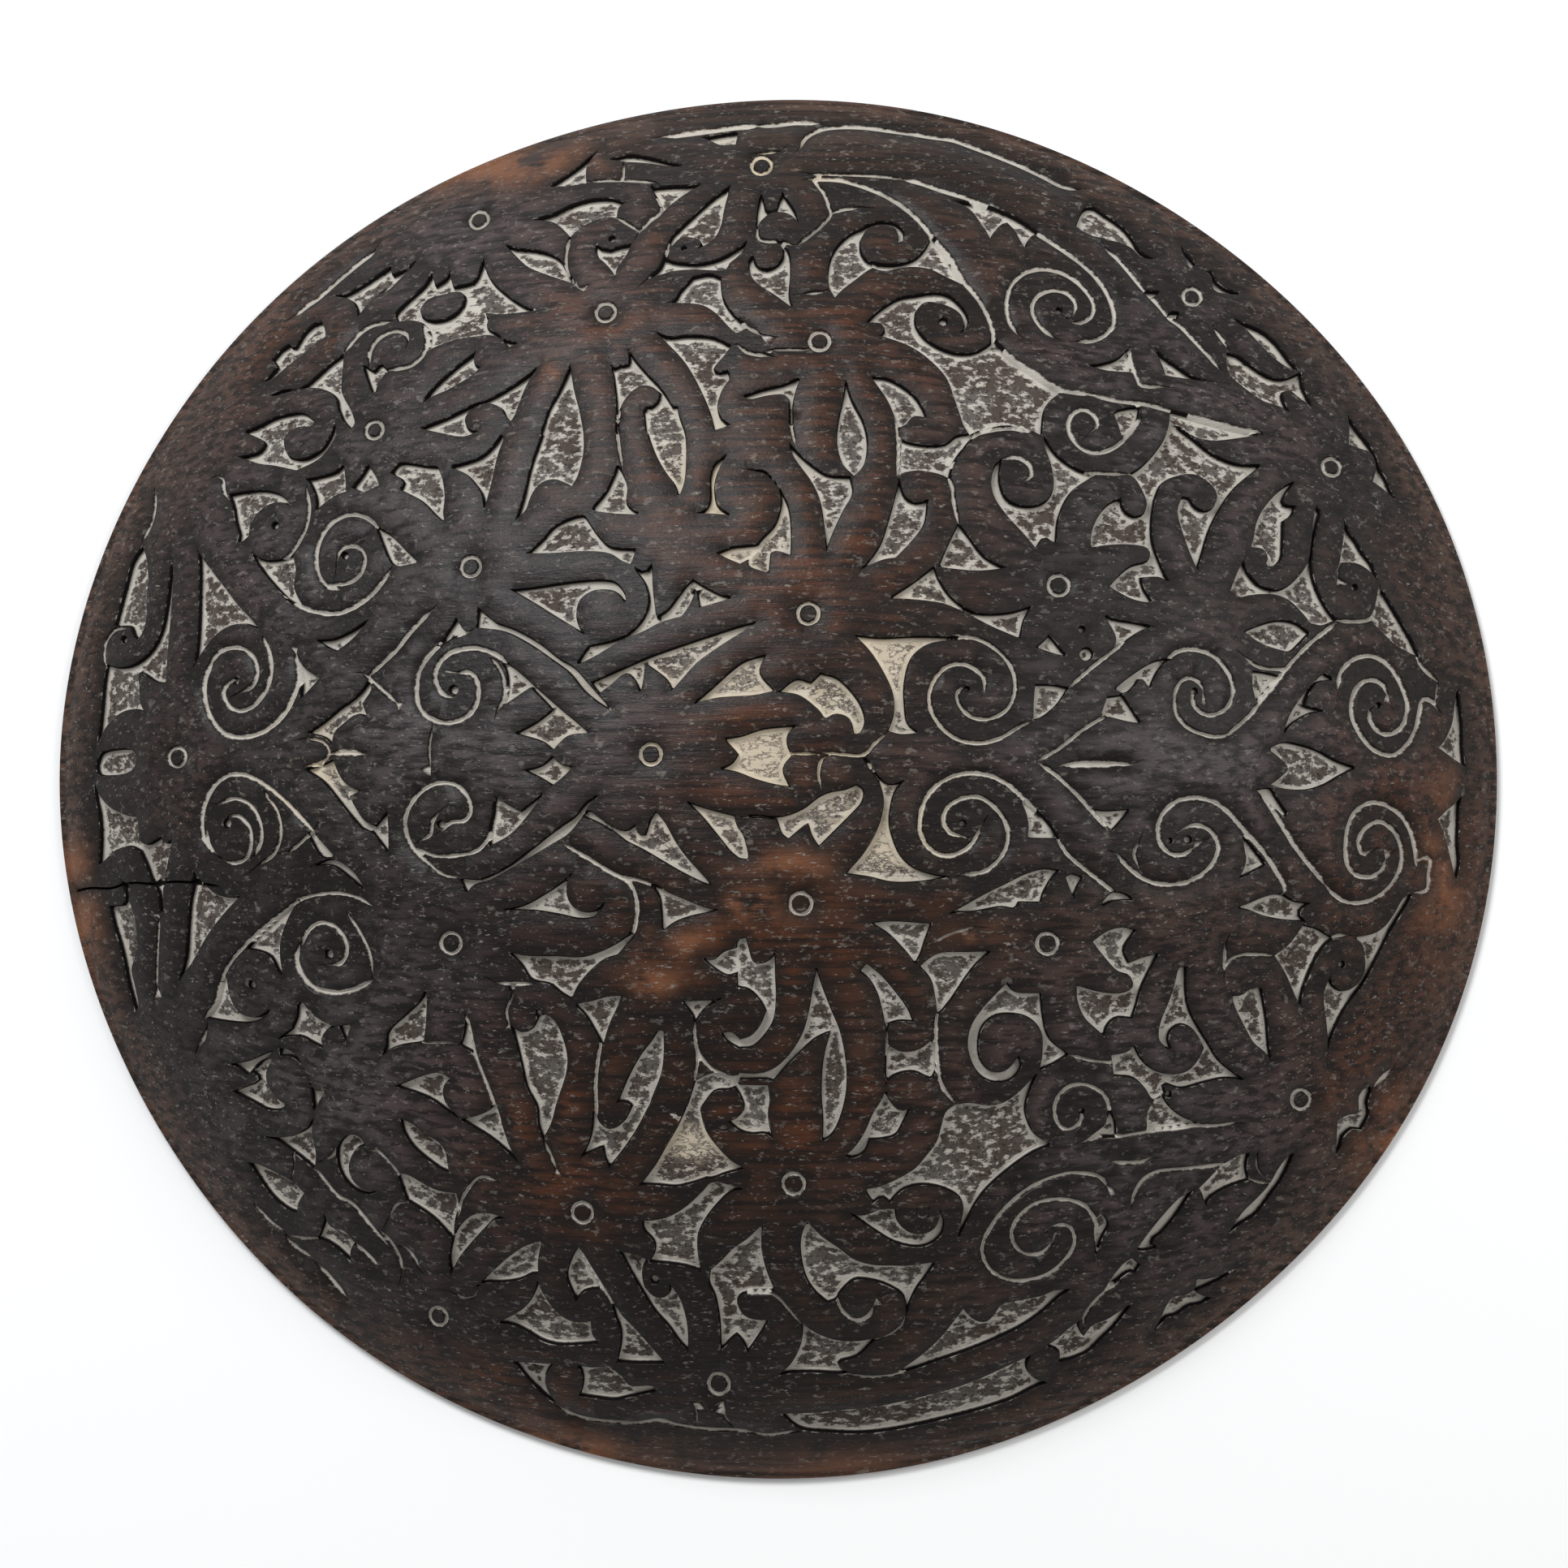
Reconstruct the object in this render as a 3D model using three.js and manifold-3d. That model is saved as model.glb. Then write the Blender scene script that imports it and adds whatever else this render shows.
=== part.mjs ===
// A round shield carved from one slab of dark hardwood: a domed shell, oval because the wood has shrunk across
// its grain, with a flat rim that it lies on, spirals, rings and leaves cut into its face, and a bar grip left
// standing in the hollow of its back.
// Millimetres, +Z up. The shield lies face up on its rim, the grain and the grip run along X, and the origin is
// the centre of its outline on the plane of the rim.
import * as THREE from "three";
import { mergeVertices } from "three/addons/utils/BufferGeometryUtils.js";
import Module from "manifold-3d";

const wasm = await Module();
wasm.setup();

// Driving sizes
const MEAN_RADIUS = 236; // of the outline
const OVAL = 4.9; // how much longer the outline is along the grain, and shorter across it
const DOME_RADIUS = 350; // of the sphere that the face follows
const WALL = 11; // thickness of the shell
const RIM_EDGE = 2.5; // height of the thin upright edge below the dome
const EDGE_CHAMFER = 1.5; // where that edge turns under
const GRIP_HALF_OPENING = 50; // half of the length that the hand has
const GRIP_UNDERSIDE = 27; // height of the bar's outer face over the rim's plane
const GRIP_THICKNESS = 22;
const GRIP_LEG = 24; // thickness of each leg where it leaves the bar
const GRIP_HALF_WIDTH = 14; // at the middle of the bar
const GRIP_HALF_FOOT = 24; // half width where the legs run into the shell
const GRIP_BEND = 14; // radius inside the corner of bar and leg
const ROUND_SEGMENTS = 96;
const DOME_STEPS = 10;
const HOLLOW_STEPS = 6;

// The larger carving. Finer ornament is left off the solid.
const CUT_DEPTH = 2.2;
const GROOVE_WIDTH = 2.4;
const SPIRAL_EYE = 0.28; // the radius a spiral starts with, as a part of its last radius
const SPIRAL_TURNS = 1.35;
const STEPS_PER_TURN = 12;
const RING_RADIUS = 5;
const RING_SEGMENTS = 8;

// Spirals: centre x, y, outer radius, where the eye starts in degrees, 1 for anticlockwise or -1 for clockwise
const SPIRALS = [
  [100, 164, 17, 200, 1],
  [114, 119, 12, 120, -1],
  [-151, 75, 14, 30, -1],
  [-178, 36, 14, 150, 1],
  [-106, 33, 13, 20, -1],
  [67, 35, 15, 180, 1],
  [133, 34, 14, 20, -1],
  [205, 22, 11, 180, 1],
  [61, -12, 15, 200, -1],
  [-108, -11, 13, 340, 1],
  [134, -10, 13, 340, 1],
  [203, -18, 11, 200, -1],
  [-178, -8, 13, 210, -1],
  [-151, -54, 12, 330, 1],
  [95, -152, 18, 160, -1],
];

// Hubs that the leaves spring from, each with a ring round it: x, y
const HUBS = [
  [-33, 2], [17, 47], [15, -46], [-93, 64], [-99, -58], [97, 57], [93, -58], [-196, 6], [19, 139], [-52, 151],
  [11, -135], [-58, -144], [-129, 113], [141, 160], [187, 102], [175, -107], [-98, 188], [-3, 205],
  [-16, -201],
];

// Leaf-shaped hollows between the bands: middle x, y, length, width, slope in degrees
const LEAVES = [
  [64, 136, 50, 16, -35],
  [132, 84, 58, 14, -50],
  [90, 89, 40, 9, -35],
  [-68, 97, 36, 11, 70],
  [-99, 156, 52, 13, 30],
  [-17, 128, 34, 10, 65],
  [-212, 40, 58, 9, 75],
  [-213, -24, 42, 9, -80],
  [48, 27, 30, 9, 40],
  [-28, 31, 44, 10, 20],
  [-71, -98, 36, 10, 85],
  [24, -95, 50, 8, 90],
  [134, -88, 44, 12, -35],
  [-23, -123, 30, 14, -60],
  [66, -128, 44, 20, 15],
  [28, -160, 30, 13, 45],
  [-7, -170, 38, 9, 80],
  [72, -182, 54, 7, 25],
  [50, -211, 80, 6, 10],
];

const DOME_CENTRE = RIM_EDGE - Math.sqrt(DOME_RADIUS ** 2 - MEAN_RADIUS ** 2);

// The outline's radius at an angle: an oval, with the slight corners and flats of a shape cut by eye.
function outlineRadius(angle) {
  const threeSided = 0.65 * Math.sin(3 * angle);
  const fourSided = 0.55 * Math.cos(4 * angle + 0.45);
  const sevenSided = -0.35 * Math.cos(7 * angle);
  return MEAN_RADIUS + OVAL * Math.cos(2 * angle) + threeSided + fourSided + sevenSided;
}

// The profile's arc of a sphere round the dome's centre, from one distance off the axis to another.
function domeArc(radius, from, to, steps = DOME_STEPS) {
  return Array.from({ length: steps + 1 }, (_, i) => {
    const across = from + ((to - from) * i) / steps;
    return new THREE.Vector2(across, DOME_CENTRE + Math.sqrt(radius ** 2 - across ** 2));
  });
}

// A turned solid with +Z as its axis, drawn out to the shield's outline.
function turned(profile) {
  const geometry = new THREE.LatheGeometry(profile, ROUND_SEGMENTS).rotateX(Math.PI / 2);
  const position = geometry.getAttribute("position");
  for (let i = 0; i < position.count; i += 1) {
    const x = position.getX(i);
    const y = position.getY(i);
    const stretch = outlineRadius(Math.atan2(y, x)) / MEAN_RADIUS;
    position.setXY(i, x * stretch, y * stretch);
  }
  return geometry;
}

// A flat-bottomed solid under the dome of a radius, drawn out to the shield's outline.
function underDome(radius) {
  const reach = Math.sqrt(radius ** 2 - DOME_CENTRE ** 2);
  return solidOf(turned([new THREE.Vector2(0, 0), ...domeArc(radius, reach, 0)]));
}

function solidOf(geometry) {
  const bare = geometry.index ? geometry.toNonIndexed() : geometry.clone();
  bare.deleteAttribute("normal");
  bare.deleteAttribute("uv");
  const merged = mergeVertices(bare, 1e-3);
  return new wasm.Manifold(new wasm.Mesh({
    numProp: 3,
    vertProperties: merged.getAttribute("position").array,
    triVerts: new Uint32Array(merged.index.array),
  }));
}

function geometryOf(solid) {
  const { numProp, vertProperties, triVerts } = solid.getMesh();
  const position = new Float32Array((vertProperties.length / numProp) * 3);
  for (let i = 0; i < position.length / 3; i += 1) {
    position.set(vertProperties.subarray(i * numProp, i * numProp + 3), i * 3);
  }
  const geometry = new THREE.BufferGeometry();
  geometry.setAttribute("position", new THREE.BufferAttribute(position, 3));
  geometry.setIndex(new THREE.BufferAttribute(triVerts, 1));
  const flat = geometry.toNonIndexed();
  flat.computeVertexNormals();
  return flat;
}

// The shell: dome outside, upright edge, flat rim and hollow.
function shell() {
  const hollowRadius = DOME_RADIUS - WALL;
  const rimInside = Math.sqrt(hollowRadius ** 2 - DOME_CENTRE ** 2);
  const profile = [
    ...domeArc(hollowRadius, 0, rimInside, HOLLOW_STEPS),
    new THREE.Vector2(MEAN_RADIUS - EDGE_CHAMFER, 0),
    new THREE.Vector2(MEAN_RADIUS, EDGE_CHAMFER),
    ...domeArc(DOME_RADIUS, MEAN_RADIUS, 0),
  ];
  return solidOf(turned(profile));
}

// The grip's side view, a wide U with its bar below, made long enough upward to run into the shell.
function gripSide() {
  const top = DOME_CENTRE + DOME_RADIUS;
  const inside = GRIP_HALF_OPENING;
  const outside = inside + GRIP_LEG;
  const barTop = GRIP_UNDERSIDE + GRIP_THICKNESS;
  const flare = 10;
  const shape = new THREE.Shape();
  shape.moveTo(-outside - flare, top);
  shape.quadraticCurveTo(-outside, barTop + GRIP_BEND, -outside + flare, barTop);
  shape.quadraticCurveTo(-inside - flare / 2, GRIP_UNDERSIDE, -inside + GRIP_BEND, GRIP_UNDERSIDE);
  shape.lineTo(inside - GRIP_BEND, GRIP_UNDERSIDE);
  shape.quadraticCurveTo(inside + flare / 2, GRIP_UNDERSIDE, outside - flare, barTop);
  shape.quadraticCurveTo(outside, barTop + GRIP_BEND, outside + flare, top);
  shape.lineTo(inside, top);
  shape.lineTo(inside, barTop + GRIP_BEND);
  shape.quadraticCurveTo(inside, barTop, inside - GRIP_BEND, barTop);
  shape.lineTo(-inside + GRIP_BEND, barTop);
  shape.quadraticCurveTo(-inside, barTop, -inside, barTop + GRIP_BEND);
  shape.lineTo(-inside, top);
  return new THREE.ExtrudeGeometry(shape, {
    depth: 2 * GRIP_HALF_FOOT, bevelEnabled: false, curveSegments: 8,
  }).rotateX(Math.PI / 2).translate(0, GRIP_HALF_FOOT, 0);
}

// The grip seen from behind: narrow in the hand, wide at its feet.
function gripPlan() {
  const end = GRIP_HALF_OPENING + 2 * GRIP_LEG;
  const waist = 2 * GRIP_HALF_WIDTH - GRIP_HALF_FOOT; // the curve's control point, so that it passes half way
  const shape = new THREE.Shape();
  shape.moveTo(-end, -GRIP_HALF_FOOT);
  shape.quadraticCurveTo(0, -waist, end, -GRIP_HALF_FOOT);
  shape.lineTo(end, GRIP_HALF_FOOT);
  shape.quadraticCurveTo(0, waist, -end, GRIP_HALF_FOOT);
  return new THREE.ExtrudeGeometry(shape, {
    depth: DOME_RADIUS, bevelEnabled: false, curveSegments: 12,
  });
}

// The grip ends half way through the shell's wall, inside the wood.
function grip() {
  const core = underDome(DOME_RADIUS - WALL / 2);
  return solidOf(gripSide()).intersect(solidOf(gripPlan())).intersect(core);
}

// The plan of a spiral groove, from its eye outwards.
function spiral([x, y, radius, start, way]) {
  const steps = Math.round(SPIRAL_TURNS * STEPS_PER_TURN);
  const side = (offset) => Array.from({ length: steps + 1 }, (_, i) => {
    const fromEye = radius * (SPIRAL_EYE + ((1 - SPIRAL_EYE) * i) / steps) + offset;
    const angle = THREE.MathUtils.degToRad(start) + (way * 2 * Math.PI * i) / STEPS_PER_TURN;
    return new THREE.Vector2(x + fromEye * Math.cos(angle), y + fromEye * Math.sin(angle));
  });
  return new THREE.Shape([...side(GROOVE_WIDTH / 2), ...side(-GROOVE_WIDTH / 2).reverse()]);
}

// The plan of the ring round a hub.
function ring([x, y]) {
  const circle = (radius) => Array.from({ length: RING_SEGMENTS }, (_, i) => {
    const angle = (2 * Math.PI * i) / RING_SEGMENTS;
    return new THREE.Vector2(x + radius * Math.cos(angle), y + radius * Math.sin(angle));
  });
  const shape = new THREE.Shape(circle(RING_RADIUS));
  shape.holes.push(new THREE.Path(circle(RING_RADIUS - GROOVE_WIDTH)));
  return shape;
}

// The plan of a leaf: two bows between two points. A bow reaches half as far out as its control point.
function leaf([x, y, length, width, slope]) {
  const angle = THREE.MathUtils.degToRad(slope);
  const along = new THREE.Vector2(Math.cos(angle), Math.sin(angle)).multiplyScalar(length / 2);
  const across = new THREE.Vector2(-along.y, along.x).setLength(width);
  const shape = new THREE.Shape();
  shape.moveTo(x - along.x, y - along.y);
  shape.quadraticCurveTo(x + across.x, y + across.y, x + along.x, y + along.y);
  shape.quadraticCurveTo(x - across.x, y - across.y, x - along.x, y - along.y);
  return shape;
}

// All cuts of the larger carving, as one solid that comes down to an even depth below the face.
function carving() {
  const plans = [...SPIRALS.map(spiral), ...HUBS.map(ring), ...LEAVES.map(leaf)];
  const columns = plans.map((plan) => solidOf(new THREE.ExtrudeGeometry(plan, {
    depth: DOME_RADIUS, bevelEnabled: false, curveSegments: 4,
  })));
  return wasm.Manifold.union(columns).subtract(underDome(DOME_RADIUS - CUT_DEPTH));
}

function box2OfOutline() {
  const box = new THREE.Box2();
  for (let i = 0; i < ROUND_SEGMENTS; i += 1) {
    const angle = (2 * Math.PI * i) / ROUND_SEGMENTS;
    const radius = outlineRadius(angle);
    box.expandByPoint(new THREE.Vector2(radius * Math.cos(angle), radius * Math.sin(angle)));
  }
  return box;
}

const shield = new THREE.Mesh(
  geometryOf(shell().add(grip()).subtract(carving())),
  new THREE.MeshStandardMaterial({ color: 0x2b1d17, roughness: 0.5, metalness: 0 }),
);
shield.name = "shield";
const middle = box2OfOutline().getCenter(new THREE.Vector2());
shield.position.set(-middle.x, -middle.y, 0);

const group = new THREE.Group();
group.add(shield);
export default group;
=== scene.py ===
"""Looks of the round carved wooden shield: its scrollwork as a mesh, old dark wood, floor, lights, camera.

The pattern is written in millimetres as x,y pairs, seen from above, the shield's outline round the origin.
A star after a pair marks a sharp corner; between corners the line runs in one smooth curve.
A pocket is a closed outline sunk below the face, a groove is an open line with a width in front of it, and a
ring or a pit is x,y,radius. The lists named LOWER count y downwards from the middle.
"""

import math

import bpy
import numpy as np
from mathutils import Matrix, Vector, geometry


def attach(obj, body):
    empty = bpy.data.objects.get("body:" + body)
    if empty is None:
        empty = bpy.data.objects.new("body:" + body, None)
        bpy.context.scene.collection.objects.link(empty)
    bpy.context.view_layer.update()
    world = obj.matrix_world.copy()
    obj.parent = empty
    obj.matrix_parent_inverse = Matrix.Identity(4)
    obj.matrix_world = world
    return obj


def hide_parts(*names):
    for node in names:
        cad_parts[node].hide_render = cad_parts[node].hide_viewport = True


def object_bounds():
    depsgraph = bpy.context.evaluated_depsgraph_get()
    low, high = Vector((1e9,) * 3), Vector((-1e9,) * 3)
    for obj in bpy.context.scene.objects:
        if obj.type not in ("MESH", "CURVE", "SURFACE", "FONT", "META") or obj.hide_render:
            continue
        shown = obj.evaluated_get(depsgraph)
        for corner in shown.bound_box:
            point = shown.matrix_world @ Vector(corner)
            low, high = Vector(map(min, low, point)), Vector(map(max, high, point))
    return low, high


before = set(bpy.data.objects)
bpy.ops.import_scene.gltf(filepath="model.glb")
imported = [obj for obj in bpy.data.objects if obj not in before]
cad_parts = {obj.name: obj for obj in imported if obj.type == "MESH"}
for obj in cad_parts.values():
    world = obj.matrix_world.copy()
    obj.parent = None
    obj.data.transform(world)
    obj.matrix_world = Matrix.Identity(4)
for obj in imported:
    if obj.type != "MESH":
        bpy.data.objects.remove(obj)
cad_low, cad_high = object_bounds()

POCKETS = []
ISLANDS = []
GROOVES = []
PITS = []
RINGS = []
LOWER_POCKETS = []
LOWER_GROOVES = []
LOWER_PITS = []
LOWER_RINGS = []
LOWER_CRACKS = []

# Upper half, right of the middle
POCKETS += [
    "33,61* 39,69 42,78 44,86 45.5,92* 47.5,86 51,84 55,85* 54,77 50,71 45,65.5* 40,64.5",
    "45,93* 48,94 52,94.5 58,93.5 61.5,92* 63,98 68,105 70,108* 64,107 60,104 54,103.5 48,104.5 45.5,106* "
    "45.5,99",
    "58,62.5* 61,70 64.5,77.5* 68,73 73,66.5 80,62.5* 70,61.5",
    "42,52* 50,57.5 57,63* 59,58 63,52.5 70,48 80,48 88.5,50.5* 86,46 84.5,39.5* 76,43 68,47 60,50.5 "
    "50,51.8",
    "89,36.8* 92,39.5 93.5,41.3* 95.5,39 97.5,36.5 100.5,33.5* 95,35",
    "31,40.5* 40,39.5 50,40 60,40 70,39* 62,38.5 55,37 50,32.5 48,25 48,18 49,12 53,8.5* 47,8 42,9* 44,15 "
    "43.5,22 40,29.5 36,35.5",
    "88.5,13* 92,14.5 96.5,18.5 100,24* 95,25 89,25* 88.5,19",
    "7,21.5* 13,26 18,25* 21,28* 27,26 33,19.5 35.5,13 34,8.5 31.5,8* 30,13 26,14.5 22.5,13 20,16 14,20.5",
    "22.5,67* 21.5,75 20,84 17,91 11,99.5 10,104* 13,100.5 18,96 23,93 30,92.5* 31,87 28,81 25,74",
    "27.5,127.5* 30,119 34,111 35.5,104 35,98 33.5,95 31,92.5* 27,97 25,104 25.5,112 27,120",
    "35.5,127* 42,126 49,121.5 52.5,117 54.5,112.5* 50,113 48,110.5* 45,109 44,112 41,119",
    "89.5,69* 92,73 94,72* 96,71* 97,80 101,88.5 109,94.8* 103,96.5 97,100.5 93,106 91.5,112* 92,104 "
    "94,98 95,91 93,86 89,83.8 84,83.8 80,86 78,91 78,96 79,100* 76,97 74.8,92 76,86 80,80 85,74.5",
    "-5,95* 2,94.5 7,89 10.5,82 11.5,74 11.5,66* 7,67.5 5,67* 4.5,60* -3,63.5 1,71 6,77 7.5,86 3,92.5",
    "106.8,70* 107.3,76 109.5,81.5 113,85.5 117,87.3* 117.6,84 119.3,82 121.7,81.3 124.2,82.7 125,86 "
    "123.5,90 121.5,93.5 119,95.3* 123,98 127.5,103 131,108.5 132.5,113 133,117* 136,112.5 140.5,109* "
    "147,104 155,101 164,101.2* 155,93 150,86 146,78 143.5,70 141.5,63.5* 139.5,68 137,75 135,83 "
    "136.5,88.5* 139,88.5 141,85.5 144,84.3 147,86 148,90 145,94 140,96.3 134,95 130,92 128,87* 127,80 "
    "127.2,73 129.5,66 132.8,58.5* 129,61 123.3,60.7* 124.3,57 127,53* 125,52.5 120,53.5 115,56 "
    "112.5,57.5* 116,61.5 120,64.8 125,66.5 126,69 124,71 118,71.5 112,71",
    "110.5,48.5* 115,46.8 121,46 127.5,44.8* 123,42.8 118.5,39.7 114.5,37* 114.8,41 112.5,45.5",
    "175,97* 169,93 164,87 161,81 160,76 159,72.5* 163,72 164.5,69 163.5,66.5* 167,66.5 169.5,69.5 170,75 "
    "170.3,82* 173,84 174.5,87.5* 170.5,88 170.7,90.5",
    "156.5,68* 154.5,64 152,57.5* 155.5,55.5 160,56.5 166,57 171,55.5 175,52 178.5,48* 183,47.5 "
    "187.5,49.5* 184,54 181,60 179.5,66 180,74 181.3,80 182.8,86* 181,88.5* 179.8,82 179,75 177.8,68.5 "
    "175,64 171,60.3 167,58.8 162,60 158.5,63.5",
    "156,44.3* 162,47 168,48.7 174,48 178.5,44.8* 175,41 172,38.3 168,38.7 162,40.5",
    "159,31.5* 163,31.3 168.5,30.3* 164,25 160.3,21* 159,26",
    "133,34.7* 127,33.5 120,29 114,24* 118,22.5 121,25 123,27.5 126,24* 128,29 130.5,32.5",
    "112,21.5* 117,22.3* 120,18 123.5,12.7* 118,13.5 110,15.5*",
    "187,29.5* 181,28.5 178,25 176.5,20.7* 184.5,19.3* 178,18 172.5,14.5 168.5,10* 171,17 174,22 179,28.5 "
    "183,32*",
    "203,61* 208,53 212.5,45.5 216,38.5* 211,40.5 207,42.5 203,46 199.5,49.3* 200,54 201,58",
    "189.5,88.5* 192,80.5 194.5,77 196.5,73.5 200,69 202,62.5* 199,66.5 195,69 191,69.3 188.3,68* 189,72 "
    "190,78 190.3,83",
    "228.5,32* 229.5,25 230.3,17 230.3,10 231,3* 226.5,5.8 221.5,9* 224,12.5 226.3,18 227.3,25",
]
GROOVES += [
    (1.5, "64.5,77 63,84 62.5,89 61.5,93 64,100 70,107 80,109.5 88,108.5"),
    (1.3, "45,92 45,104 44,112"),
    (1.3, "10.5,118 10.5,110 12,103"),
    (1.5, "60,39.5 70,39.3 77,35.5 81.5,30 82.7,23 80.5,17 75.5,13.7 69.5,13.7 65.5,17 64.2,21 66.5,24.2"),
    (1.6, "73,22 72.5,27 67,30.7 61,30 56.5,24.5 55.5,18 58.5,11.5 64,7 71,5.6 78,7.3 84,11 88,13"),
    (1.8, "79,99 83,99.8 87,97.5 88,94 86,91.8"),
    (1.5, "90,0.3 97,4.5 103,9.5 108,13 112,15"),
    (1.6, "118,39.5 112,34.5 107,30.5 100,24"),
    (1.8, "98,-0.8 106,0 120,-0.3"),
    (1.2, "106,95.5 112,95.2 119,95.3"),
    (1.3, "22,2.3 34,1.5 38,5 42,8.5"),
    (1.3, "34,1.5 38,-3"),
    (1.2, "11,2 20,1.8"),
    (1.8, "123.5,115 119.5,109 115,104.5 110,102.3 105,103 101.3,106.5 99.8,111 101,115 104.5,117 "
     "108,115.3 109.5,112 108,110"),
    (1.8, "150,9.5 157,15.5 164,24 170,32 176,39 182,44.5 187,48.5"),
    (1.3, "156.5,35.8 161,32.8 167,32.2 171,33"),
    (1.7, "130.5,33 135,36.8 141,37.5 147,35.2 151.3,30 152.8,24.5 151,19.3 147,16.6 143,16.7 140,19.3 "
     "139.3,23.5"),
    (1.6, "143,24.5 141.5,27 138.5,28.3 135.3,26.3 133.8,22 134.3,16.5 137.3,12.6 142,10.3 147,9.4 "
     "151,10.3"),
    (1.9, "187.5,26.5 188.5,32 192.5,36.6 198.5,38.3 204.5,35.6 208.8,29.5 211,22.3 209.3,15.8 205,12.6 "
     "201,13.3 198.3,16.7 198,20.5"),
    (1.9, "204,26 202.5,29 199,30.3 195,28.8 192.5,24.5 192,18.5 194.5,12.5 199,7.5 205,5.6 210,8.7 "
     "213.7,14.5 215,20 216.3,24.7 219,24.7 221,22.5"),
    (1.4, "202,62 201.5,56 199,51 194,49.5 187,49.5"),
    (1.6, "214,39.5 216.5,35.5 221.5,31.3"),
    (1.0, "221.5,31 221,26 220.5,22.5"),
    (0.9, "188.3,68 187.7,63"),
]
PITS += [
    "104,43,1.3", "105.5,35,2.4", "140.3,24,1.3", "193.5,61,1.3", "201,22,1.2", "67.5,23,1.0",
]

# Upper half, left of the middle
POCKETS += [
    "-75,68* -70,72.5 -66,77 -61,79.5 -57,80.5 -55.5,80* -51,73.5 -47,69.8 -41,69 -38.5,69* -39.5,66 "
    "-40.5,63.5* -44,65 -48,67.5 -55,68.3 -65,68",
    "-54,82.5* -49.5,88 -46.8,94 -45.8,98* -43.5,94 -42,90 -42,84 -37,80* -45,80.5 -52,81.5",
    "-40.5,63.5* -36,61.5 -33.3,64* -32.8,56 -32,50 -31.5,46.5* -28,49 -25,53 -22,57 -20,58.5* -15,55.5 "
    "-10,53.2 -5,52.8* -10,51.3 -14,50.2 -18,49* -19,54.5* -21,50 -23.5,46.3* -30,44.5 -36,41.5 -44,38 "
    "-51,34 -58,30.5* -56,34 -53.5,37.5* -47,38.7 -41,41 -36.5,45.5 -34.5,51 -35.5,56.5 -38,60.5",
    "-80,56.3* -72,57 -64,58 -57,58.7 -50,59 -45,58 -41.8,54 -41.5,50* -44,53.5 -47,55.3 -52,55.3 -56,53 "
    "-57.5,50 -57.5,46 -55.5,42 -51.5,38.5* -57,42 -65,47 -72,51.5",
    "-90.5,51* -87,48 -84,45.7* -78,43.5 -70,39 -63,33.5 -58,30.5 -53,25 -49,20.5 -44.5,15.3* -50,18.5 "
    "-55,22.5 -60,28.5 -66,33 -74,38.5 -82,42.5 -91,44*",
    "-53,25.5* -44,29.3 -34,33.5 -24,37 -14,40.3 -4,43.5 2,45* -4,41 -11,36.5 -18,31.5 -23,26 -26.5,22* "
    "-28.5,26 -35,31* -35.5,26 -36.5,20.8* -38.5,25.5 -41.5,28 -46,24.5 -50,21.5*",
    "-104,38* -100,44 -97.5,48* -96,45 -93.5,43* -98,41.5",
    "-84,34* -78,31 -70,24 -62,17 -56,12 -52.5,8.7* -58,8.5 -61,7.5 -65,3.5* -69,6.5 -78,9.3* -71,12.8 "
    "-65.5,16.8* -68.5,20 -72.5,24* -76,21.8 -82.5,17.5* -80.5,23 -80.5,28 -82,32",
    "-122.5,97.5* -119,101 -110,99.5 -106,99* -104,94 -103,88 -103.3,83 -102.5,79* -106,82 -111,87 "
    "-116,90 -119,91.5* -118,94.5",
    "-103,98.8* -97,99.8 -91,102 -87,106 -84.5,110* -84,107 -85,104 -86,100 -87,94 -88.5,87 -89.5,82* "
    "-90.5,88 -93,92 -97,96",
    "-79,79* -76.5,88 -74.5,98 -71.5,108 -69.5,117* -59,117* -57.5,110 -57,102 -58.5,94 -60.5,90* "
    "-63,91.5 -66,92.7 -70,92 -73,89 -74.5,85.5 -75.5,82.5",
    "-37,117* -37,110 -34,101 -30,94 -27,90 -25.5,85* -23.5,91 -23,98 -23.5,107 -25.5,113 -26.5,117*",
    "-21,80* -17,81.3 -15.3,85 -15.5,92 -14,97 -9,101* -12,96 -13.5,91 -13.3,86 -12,82.5 -7.5,79.2* "
    "-14,80",
    "-13,67* -8,69 -4,69.5 1,70* -1,66 -5,63.3* -9,65",
    "-20.5,17.5* -14,23 -8,28.5 -3,32 4,34* 2,28 7,22* 0,20.5 -8,20 -13,19.5",
]
GROOVES += [
    (1.9, "-93.5,42.5 -100,41 -105.5,36.5 -109.5,31 -110.5,25 -109.5,18.5 -105,14.5 -99,13.3 -93,15.5 "
     "-90,20 -90,26 -92.5,29.3 -97,29.5"),
    (2.0, "-98,21.5 -101.5,22.5 -104,26.5 -104,31 -101,35 -97,36.8 -91,37.3 -85,35.5 -80,32"),
    (1.3, "-86,34.5 -82.5,30 -81,25 -81.3,20.5 -83.5,16.5"),
    (1.3, "-45.5,119 -46,108 -44,96"),
    (1.7, "-106,50.5 -113,43.5 -118,37.5 -127,29.5"),
    (1.6, "-129,30.5 -122,24.5 -117.5,20.5"),
    (0.9, "-105,12 -106,5 -105.5,-1"),
]
PITS += [
    "-98,24,1.8",
]

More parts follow.
